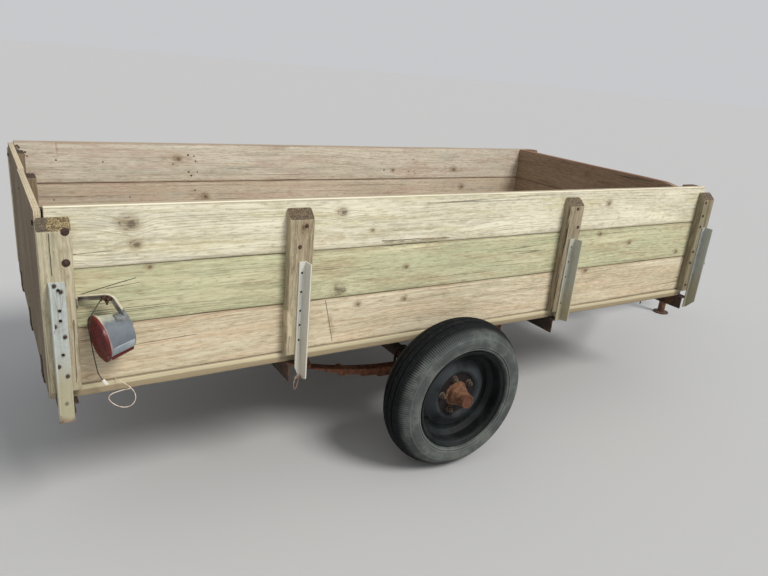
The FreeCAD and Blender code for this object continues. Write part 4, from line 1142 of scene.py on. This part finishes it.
def tailgate(rusted):
    gate_low, gate_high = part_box("gate_panels")
    shape = Shape()
    halves = ((gate_low.y, -gate_seam / 2), (gate_seam / 2, gate_high.y))
    for index, (y0, y1) in enumerate(halves):
        start = len(shape.points)
        tall = gate_high.z - gate_low.z
        chips = [(tall - 0.03, tall, 0.004, 2)] if index else ()
        low, high = (gate_low.x, y0, gate_low.z), (gate_high.x, y1, gate_high.z)
        shape.board(low, high, Z, 90 + index, 0.0012, 0.0008, chips)

        def settle(p):
            rag = 0.0022 * max(0.0, noise.noise((p.y * 22, p.x * 40, 5.0 + index)))
            drop = rag if p.z > gate_high.z - 0.004 else 0.0
            lean = gate_lean * (p.z - gate_low.z) / tall if index else 0.0
            return (min(p.x + lean, gate_high.x + gate_lean), p.y, p.z - drop)

        shape.since(start, settle)
    tones = ((126, 111, 86), (106, 89, 64), (82, 68, 53))
    finish = plywood("gate plywood", (Z, Y, X), 3.0, tones, gate_low.x, gate_layer)
    piece("gate_boards", shape, finish, ["gate_panels"], "tailgate")

    low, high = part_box("gate_battens")
    places = (low.y, -stake_width / 2, high.y - stake_width)
    battens = Shape()
    for index, y in enumerate(places):
        battens.board((low.x, y, low.z), (high.x, y + stake_width, high.z), Z, 95 + index, wear=0.0022)
    tones = ((152, 134, 110), (130, 112, 90), (96, 80, 62), (84, 66, 50))
    looks = {"first": low.y, "pitch": stake_width * 3, "face": high.x, "depth": 0.04}
    looks.update(cracks=1.3, wear=0.8, end_tone=(88, 70, 54))
    finish = wood("gate batten", (Z, Y, X), 44.0, tones, **looks)
    piece("gate_battens_wood", battens, finish, ["gate_battens"], "tailgate")

    bolts = Shape()
    draw = random.Random(3)
    for y in places:
        for z in (*(low.z + up for up in batten_screws), high.z - batten_top_screw):
            for shift in screw_shifts:
                place = (gate_low.x + 0.0004, y + shift, z + draw.uniform(-0.01, 0.01))
                bolts.dome(place, (-1, 0, 0), 0.0034, 0.0014, 12)
    for y in strap_places:
        for up in strap_bolts:
            bolts.nut((gate_high.x, y, gate_low.z + up), (1, 0, 0), 0.0075, 0.0045)
    piece("gate_bolts", bolts, rusted, body="tailgate")


def gate_latches(rusted):
    """Bent plates at the gate's top ends that its chain hooks drop into."""
    low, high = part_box("gate_panels")
    shape = Shape()
    for way in (-1, 1):
        y = way * (abs(side_inner) - 0.012)
        shape.tube([(high.x + ahead, y, high.z - down) for ahead, down in latch_bends], 0.0042, 10)
        shape.nut((low.x + 0.001, y, high.z - 0.045), (-1, 0, 0), 0.008, 0.005)
    piece("gate_hooks", shape, rusted, body="tailgate")


# Lamps: built facing straight back at the origin, then tilted and set in place
lamp_from_rear = 0.117
lamp_out = 0.074
lamp_height = 0.712
lamp_tilt = math.radians(8)
lamp_turn = math.radians(13)
lamp_ring = 0.072
lamp_back = 0.054
lamp_depth = 0.084
lamp_flat = 0.042
drum_ring = lamp_ring - 0.004
lamp_steps = 64
# The bright band on the drum's side: its stops behind the lens, and its levels
band_stops = (0.005, 0.007, 0.030, 0.054, 0.077, 0.079)
band_levels = (-0.0412, -0.0385, -0.0310, -0.0235, -0.0120, -0.0090)
# The window underneath: its half widths at the lens and at the back, and its levels and insets
window_front = 0.047
window_back = 0.030
window_levels = ((0.001, 0.0), (-0.012, 0.001), (-0.016, 0.005))
# The lens: its own face's place, its crown, its rings, and its screws' angles
lens_face = 0.0068
lens_crown = 0.0105
lens_steps = 120
lens_rings = 26
lens_flat = 0.066
lens_screws = (35, 145, 215, 325)
lens_screw_circle = 0.0665


def lamp_piece(name, shape, finish, side, word, replaced=()):
    """Tilts a lamp's part, sets it in place and makes it."""
    turn = Matrix.Rotation(side * lamp_turn, 4, "Z") @ Matrix.Rotation(-lamp_tilt, 4, "Y")
    where = Matrix.Translation(spot(lamp_from_rear, lamp_out, lamp_height, side)) @ turn
    shape.since(0, lambda p: where @ p)
    piece(name + "_" + word, shape, finish, replaced)


def lamp_housings(painted, band_paint, rim_paint, window):
    for side, word in sides:
        profile = [(lamp_ring - 0.0040, 0.0020), (lamp_ring - 0.0042, 0.0085)]
        for share in (0.3, 0.6, 0.85, 0.93):
            profile.append((drum_ring - (drum_ring - lamp_back) * share, lamp_depth * share))
        profile += [
            (lamp_back + 0.0012, lamp_depth - 0.0055),
            (lamp_back - 0.0004, lamp_depth - 0.0052),
            (lamp_back - 0.0008, lamp_depth - 0.002),
            (lamp_back - 0.004, lamp_depth),
        ]
        lip = [
            (lamp_ring - 0.0035, 0.0),
            (lamp_ring - 0.0015, 0.0008),
            (lamp_ring - 0.0013, 0.0050),
            (lamp_ring - 0.0035, 0.0064),
        ]

        def flatten(p):
            inward = 1.0 - 0.05 * max(0.0, (-p.z - 0.02) / 0.05) if p.z < -0.02 else 1.0
            return (p.x, p.y * inward, max(p.z, -lamp_flat))

        for outline, finish, name in ((profile, painted, "lamp_drum"), (lip, rim_paint, "lamp_rim")):
            part = Shape()
            part.turned(outline, (0, 0, 0), (1, 0, 0), lamp_steps)
            part.since(0, flatten)
            lamp_piece(name, part, finish, side, word, ["lamp_housings"])
        band = Shape()
        for way in (-1, 1):
            rings = []
            for x in band_stops:
                inset = 0.0 if 0.006 < x < 0.078 else 0.001
                radius = drum_ring - (drum_ring - lamp_back) * x / lamp_depth
                ring = []
                for z in band_levels:
                    y = math.sqrt(max(radius**2 - z**2, 0.0)) * (1.0 - max(0.0, -z - 0.02))
                    lift = 0.0016 if -0.040 < z < -0.010 else -0.0004
                    ring.append((x, way * (y + lift - inset), z))
                rings.append(ring)
            band.loft(rings, caps=False, closed=False)
        lamp_piece("lamp_band", band, band_paint, side, word)
        strip = Shape()
        rings = []
        for level, inset in window_levels:
            front, back = 0.004 + inset, lamp_depth - 0.004 - inset
            wide, narrow = window_front - inset, window_back - inset
            corners = ((front, -wide), (back, -narrow), (back, narrow), (front, wide))
            rings.append([(x, y, level - lamp_flat) for x, y in corners])
        strip.loft(rings)
        lamp_piece("lamp_window", strip, window, side, word)


def lamp_lenses(red, painted):
    for side, word in sides:
        inner = lamp_ring - 0.0062
        rim = (
            (lamp_ring - 0.004, 0.0),
            (lamp_ring, -0.001),
            (lamp_ring, -0.0065),
            (lamp_ring - 0.0015, -0.008),
            (lamp_ring - 0.0045, -0.0082),
            (inner, -lens_face),
        )
        rings = [[(reach, radius, turn) for turn in turns(lens_steps)] for radius, reach in rim]
        for k in range(1, lens_rings):
            radius = inner * (1 - k / lens_rings)
            crown = -lens_face - lens_crown * (1 - (radius / inner) ** 2)
            rib = 0.0009 * math.cos(k * math.pi * 0.8)
            ring = []
            for turn in turns(lens_steps):
                flute = 0.0006 * math.cos(turn * 30) * min(1.0, radius / 0.03)
                ring.append((crown + rib + flute, radius, turn))
            rings.append(ring)
        placed = []
        for ring in rings:
            placed.append([(x, r * math.cos(a), max(r * math.sin(a), -lens_flat)) for x, r, a in ring])
        shape = Shape()
        shape.loft(placed)
        lamp_piece("lamp_lens", shape, red, side, word, ["lamp_lenses"])
        screws = Shape()
        for angle in lens_screws:
            place = arm(Vector((0, 1, 0)), Vector((0, 0, 1)), math.radians(angle)) * lens_screw_circle
            screws.dome(place - Vector((0.0075, 0, 0)), (-1, 0, 0), 0.0024, 0.0016, 10)
        lamp_piece("lens_screws", screws, painted, side, word)


# The lamp's arm: where its web starts, its turn outward, and how steeply it rises
arm_start = (0.064, 0.0095, 0.828)
arm_turn = math.radians(27.8)
arm_slope = 1 / 7
# The bolts by its bend: how far along the arm and how far down, and their radius
arm_bolts = ((0.084, 0.010, 0.0078), (0.097, 0.0135, 0.0066))
tab_bolt = (0.0672, 0.018, 0.812)


def lamp_hardware(rusted):
    """The rusty bolts and nuts by the arm's bend, and the bolt through its tab."""
    shape = Shape()
    for side, _ in sides:
        run = Vector((math.cos(arm_turn), -side * math.sin(arm_turn), arm_slope))
        face = Vector((-math.sin(arm_turn), -side * math.cos(arm_turn), 0))
        web = spot(*arm_start, side) + face * 0.002
        places = [web + run * along - Vector((0, 0, down)) for along, down, _ in arm_bolts]
        for place, (_, _, radius) in zip(places, arm_bolts):
            shape.washer(place - face * 0.0003, face, radius * 1.3)
            shape.nut(place + face * 0.001, face, radius, 0.006, 0.3, 0.005)
        hanging = places[0] + run * 0.008 + face * 0.006
        shape.nut(hanging - Vector((0, 0, 0.008)), (0, 0, -1), 0.0062, 0.005, 0.8, 0.007)
        shape.dome(spot(*tab_bolt, side), (1, 0, 0), 0.0060, 0.003, 12)
    piece("lamp_bolts", shape, rusted)


# Camera, light and floor

camera_place = (-0.13845, 1.95823, 1.541)
camera_yaw = math.radians(33.0107)
camera_pitch = math.radians(18.9767)
camera_roll = math.radians(5.3322)
camera_lens = 30.345
world_strength = 0.60
key_strength = 2.5
key_spread = math.radians(22)
key_turn = (math.radians(42), 0, math.radians(24))
floor_grey = (184.117, 184.117, 184.117)
floor_reach = 120.0


def make_camera():
    flat = math.cos(camera_pitch)
    ahead = Vector((math.sin(camera_yaw) * flat, math.cos(camera_yaw) * flat, -math.sin(camera_pitch)))
    level = Vector((math.cos(camera_yaw), -math.sin(camera_yaw), 0))
    above = level.cross(ahead)
    right = level * math.cos(camera_roll) + above * math.sin(camera_roll)
    up = above * math.cos(camera_roll) - level * math.sin(camera_roll)
    data = bpy.data.cameras.new("camera")
    data.lens = camera_lens
    data.sensor_width = 36.0
    camera = bpy.data.objects.new("camera", data)
    turn = Matrix((right, up, -ahead)).transposed().to_4x4()
    camera.matrix_world = Matrix.Translation(spot(*camera_place)) @ turn
    bpy.context.scene.collection.objects.link(camera)
    bpy.context.scene.camera = camera


def make_studio():
    scene = bpy.context.scene
    scene.view_settings.view_transform = "Standard"
    world = bpy.data.worlds.new("studio")
    world.use_nodes = True
    background = world.node_tree.nodes["Background"]
    background.inputs["Color"].default_value = (0.95, 0.97, 1.0, 1.0)
    background.inputs["Strength"].default_value = world_strength
    scene.world = world
    data = bpy.data.lights.new("key", "SUN")
    data.energy = key_strength
    data.angle = key_spread
    data.color = (1.0, 0.98, 0.94)
    lamp = bpy.data.objects.new("key", data)
    lamp.rotation_euler = key_turn
    scene.collection.objects.link(lamp)
    mesh = bpy.data.meshes.new("floor")
    corners = [(x * floor_reach, y * floor_reach, 0) for x, y in ((-1, -1), (1, -1), (1, 1), (-1, 1))]
    mesh.from_pydata(corners, [], [(0, 1, 2, 3)])
    finish = Finish("floor")
    finish.colour = floor_grey
    mesh.materials.append(finish.close(0.95))
    floor = bpy.data.objects.new("floor", mesh)
    scene.collection.objects.link(floor)


# Free wires. Points are from the rear of the deck, out from the side's face, and above the ground.
lead_diameter = 0.003
lead_route = (
    (0.127, 0.043, 0.819), (0.118, 0.051, 0.811), (0.106, 0.061, 0.798), (0.094, 0.072, 0.783),
    (0.089, 0.080, 0.765), (0.087, 0.084, 0.744), (0.0885, 0.083, 0.720), (0.092, 0.078, 0.693),
    (0.096, 0.072, 0.660), (0.101, 0.0665, 0.628), (0.105, 0.062, 0.599), (0.112, 0.060, 0.580),
    (0.118, 0.060, 0.571),
)
plug_size = 0.009
plug_length = 0.022
wire_diameter = 0.0025
wire_route = (
    (0.161, 0.0, 0.5415), (0.161, 0.011, 0.5415), (0.169, 0.023, 0.541), (0.182, 0.035, 0.536),
    (0.199, 0.047, 0.523), (0.211, 0.054, 0.503), (0.211, 0.056, 0.482), (0.202, 0.055, 0.466),
    (0.186, 0.0515, 0.4575), (0.168, 0.046, 0.459), (0.151, 0.040, 0.468), (0.140, 0.034, 0.479),
    (0.1355, 0.030, 0.488), (0.139, 0.0275, 0.496), (0.149, 0.026, 0.5015), (0.164, 0.026, 0.5045),
    (0.179, 0.026, 0.507), (0.193, 0.026, 0.5075), (0.2008, 0.0215, 0.5055), (0.2053, 0.0137, 0.504),
    (0.2053, 0.007, 0.504),
)


def free_wire(name, route, diameter, finish, node):
    data = bpy.data.curves.new(name, "CURVE")
    data.dimensions = "3D"
    data.bevel_depth = diameter / 2
    data.bevel_resolution = 3
    data.use_fill_caps = True
    line = data.splines.new("NURBS")
    line.points.add(len(route) - 1)
    for point, place in zip(line.points, route):
        point.co = (*spot(*place), 1.0)
    line.order_u = 3
    line.use_endpoint_u = True
    line.resolution_u = 10
    data.materials.append(finish)
    made = bpy.data.objects.new(name, data)
    bpy.context.scene.collection.objects.link(made)
    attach(made, "chassis")
    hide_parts(node)
    return made


def free_wires():
    black = wire_cover("lead rubber", (34, 32, 30), (70, 62, 52))
    pale = wire_cover("pale wire", (228, 214, 194), (172, 146, 120))
    white = wire_cover("white plastic", (226, 224, 212), (172, 162, 140))
    lead = free_wire("lead", lead_route, lead_diameter, black, "lamp_lead")
    wire = free_wire("pale_wire", wire_route, wire_diameter, pale, "ground_wire")
    shape = Shape()
    half = plug_size / 2
    shape.board((-half, -half, 0.0), (half, half, plug_length), Z, 2, 0.0013, 0.0)
    before, end = (spot(*point) for point in lead_route[-2:])
    lie = Vector((0, 0, 1)).rotation_difference(end - before).to_matrix()
    shape.since(0, lambda p: end + lie @ p)
    plug = piece("plug", shape, white, ["lamp_plug"])


# Everything together

make_camera()
make_studio()
free_wires()

old_rust = rust("old rust", (52, 36, 28), (92, 62, 42), (138, 88, 54))
bolt_rust = rust("bolt rust", (46, 34, 28), (84, 60, 46), (114, 78, 56), 0.3)
# Near-black finish for the discs in the steel stakes' holes: painted shade.
hole_shade_black = rust("painted hole shade", (24, 20, 16), (44, 36, 28), (62, 46, 34), 0.3)
wire_rust = rust("tie wire rust", (148, 112, 94), (190, 160, 140), (170, 120, 92), 0.3)
strap_rust = rust("strap rust", (58, 48, 40), (94, 80, 66), (122, 92, 66), 0.4)
spring_rust = rust("spring rust", (78, 50, 36), (132, 82, 56), (172, 108, 68))
frame_paint = rust("frame rust", (42, 32, 25), (76, 54, 40), (112, 72, 48), 0.4, (50, 47, 44))
tongue_paint = rust("tongue rust", (52, 40, 34), (96, 66, 48), (146, 92, 58), 0.6, (66, 66, 66))
hub_rust = hub_iron()
# The wheel disc's paler colour is partly dust and partly painted light. Its middle's dark colour is painted
# shade.
wheel_looks = {"disc": ((52, 57, 60), (28, 18, 16)), "Specular_IOR_Level": 0.2}
black_paint = worn_paint("wheel paint", (12, 15, 15), (32, 37, 37), (50, 42, 34), 0.35, **wheel_looks)
# The lamp's top is paler, partly from rubbing and partly as a painted highlight.
scuff_and_highlight = (lamp_height + 0.056, lamp_height + 0.070, (206, 204, 180))
drum_paint = worn_paint("lamp paint", (94, 101, 107), (118, 125, 131), (86, 74, 64), 0.3, scuff_and_highlight)
band_paint = worn_paint("lamp band", (134, 144, 150), (164, 172, 176), (110, 98, 86), 0.3)
rim_paint = worn_paint("lamp rim", (132, 112, 112), (168, 156, 154), (92, 50, 44), 0.6, scuff_and_highlight)
rubber_finish = rubber()
red = lens_red()

side_boards()
deck()
front_panel()
wooden_stakes()
fasteners(bolt_rust)
hole_dirt(hole_shade_black, wire_rust)

# The near steel stakes: dirt about their bolts, dark rims about their holes, partly rust and partly
# painted shade, and each one's own tone
angle_foot = 0.438
olive_top = 0.70
marks = [((rear + x, z), 0.009, 0.7) for x, z in steel_bolts]
# Dark rims about the holes: partly rust, partly painted shade of the holes.
marks += [((rear + steel_holes[0][0], z), 0.008, 0.7) for z in (*steel_holes[0][1], 0.501)]
tones = (
    (rear + 0.745, (222, 218, 206), 0.75),
    (rear + 2.060, (176, 166, 134), 0.45),
    (rear + 3.030, (128, 124, 108), 0.35),
)
near_zinc = galvanised("angle zinc right", angle_foot, olive_top, marks, tones)
dress(["steel_stakes_right"], near_zinc, 0.0006)
dress(["steel_stakes_left"], galvanised("angle zinc left", angle_foot, olive_top), 0.0006)

for side, word in sides:
    tyre(side, word, rubber_finish)
    wheel_fittings(side, word, hub_rust, black_paint)
dress(["wheel_right", "wheel_left"], black_paint, 0.0008)
dress(["hub_right", "hub_left"], hub_rust, 0.0010)
dress(["axle", "axle_clamps"], frame_paint, 0.0008)
dress(["spring_right", "spring_left", "spring_hangers"], spring_rust, 0.0008)
dress(["cross_member_" + str(number) for number in (1, 2, 3, 4)], frame_paint, 0.0010)
dress(["rail_right", "rail_left"], frame_paint, 0.0010)
dress(["tongue", "tongue_braces", "coupler", "stand_sleeve", "stand_leg"], tongue_paint, 0.0010)

tailgate(old_rust)
gate_latches(old_rust)
dress(["gate_straps", "fixed_hinges"], strap_rust, 0.0008)
lamp_housings(drum_paint, band_paint, rim_paint, red)
lamp_lenses(red, rim_paint)
lamp_hardware(old_rust)
dress(["lamp_brackets"], arm_steel(), 0.0006)
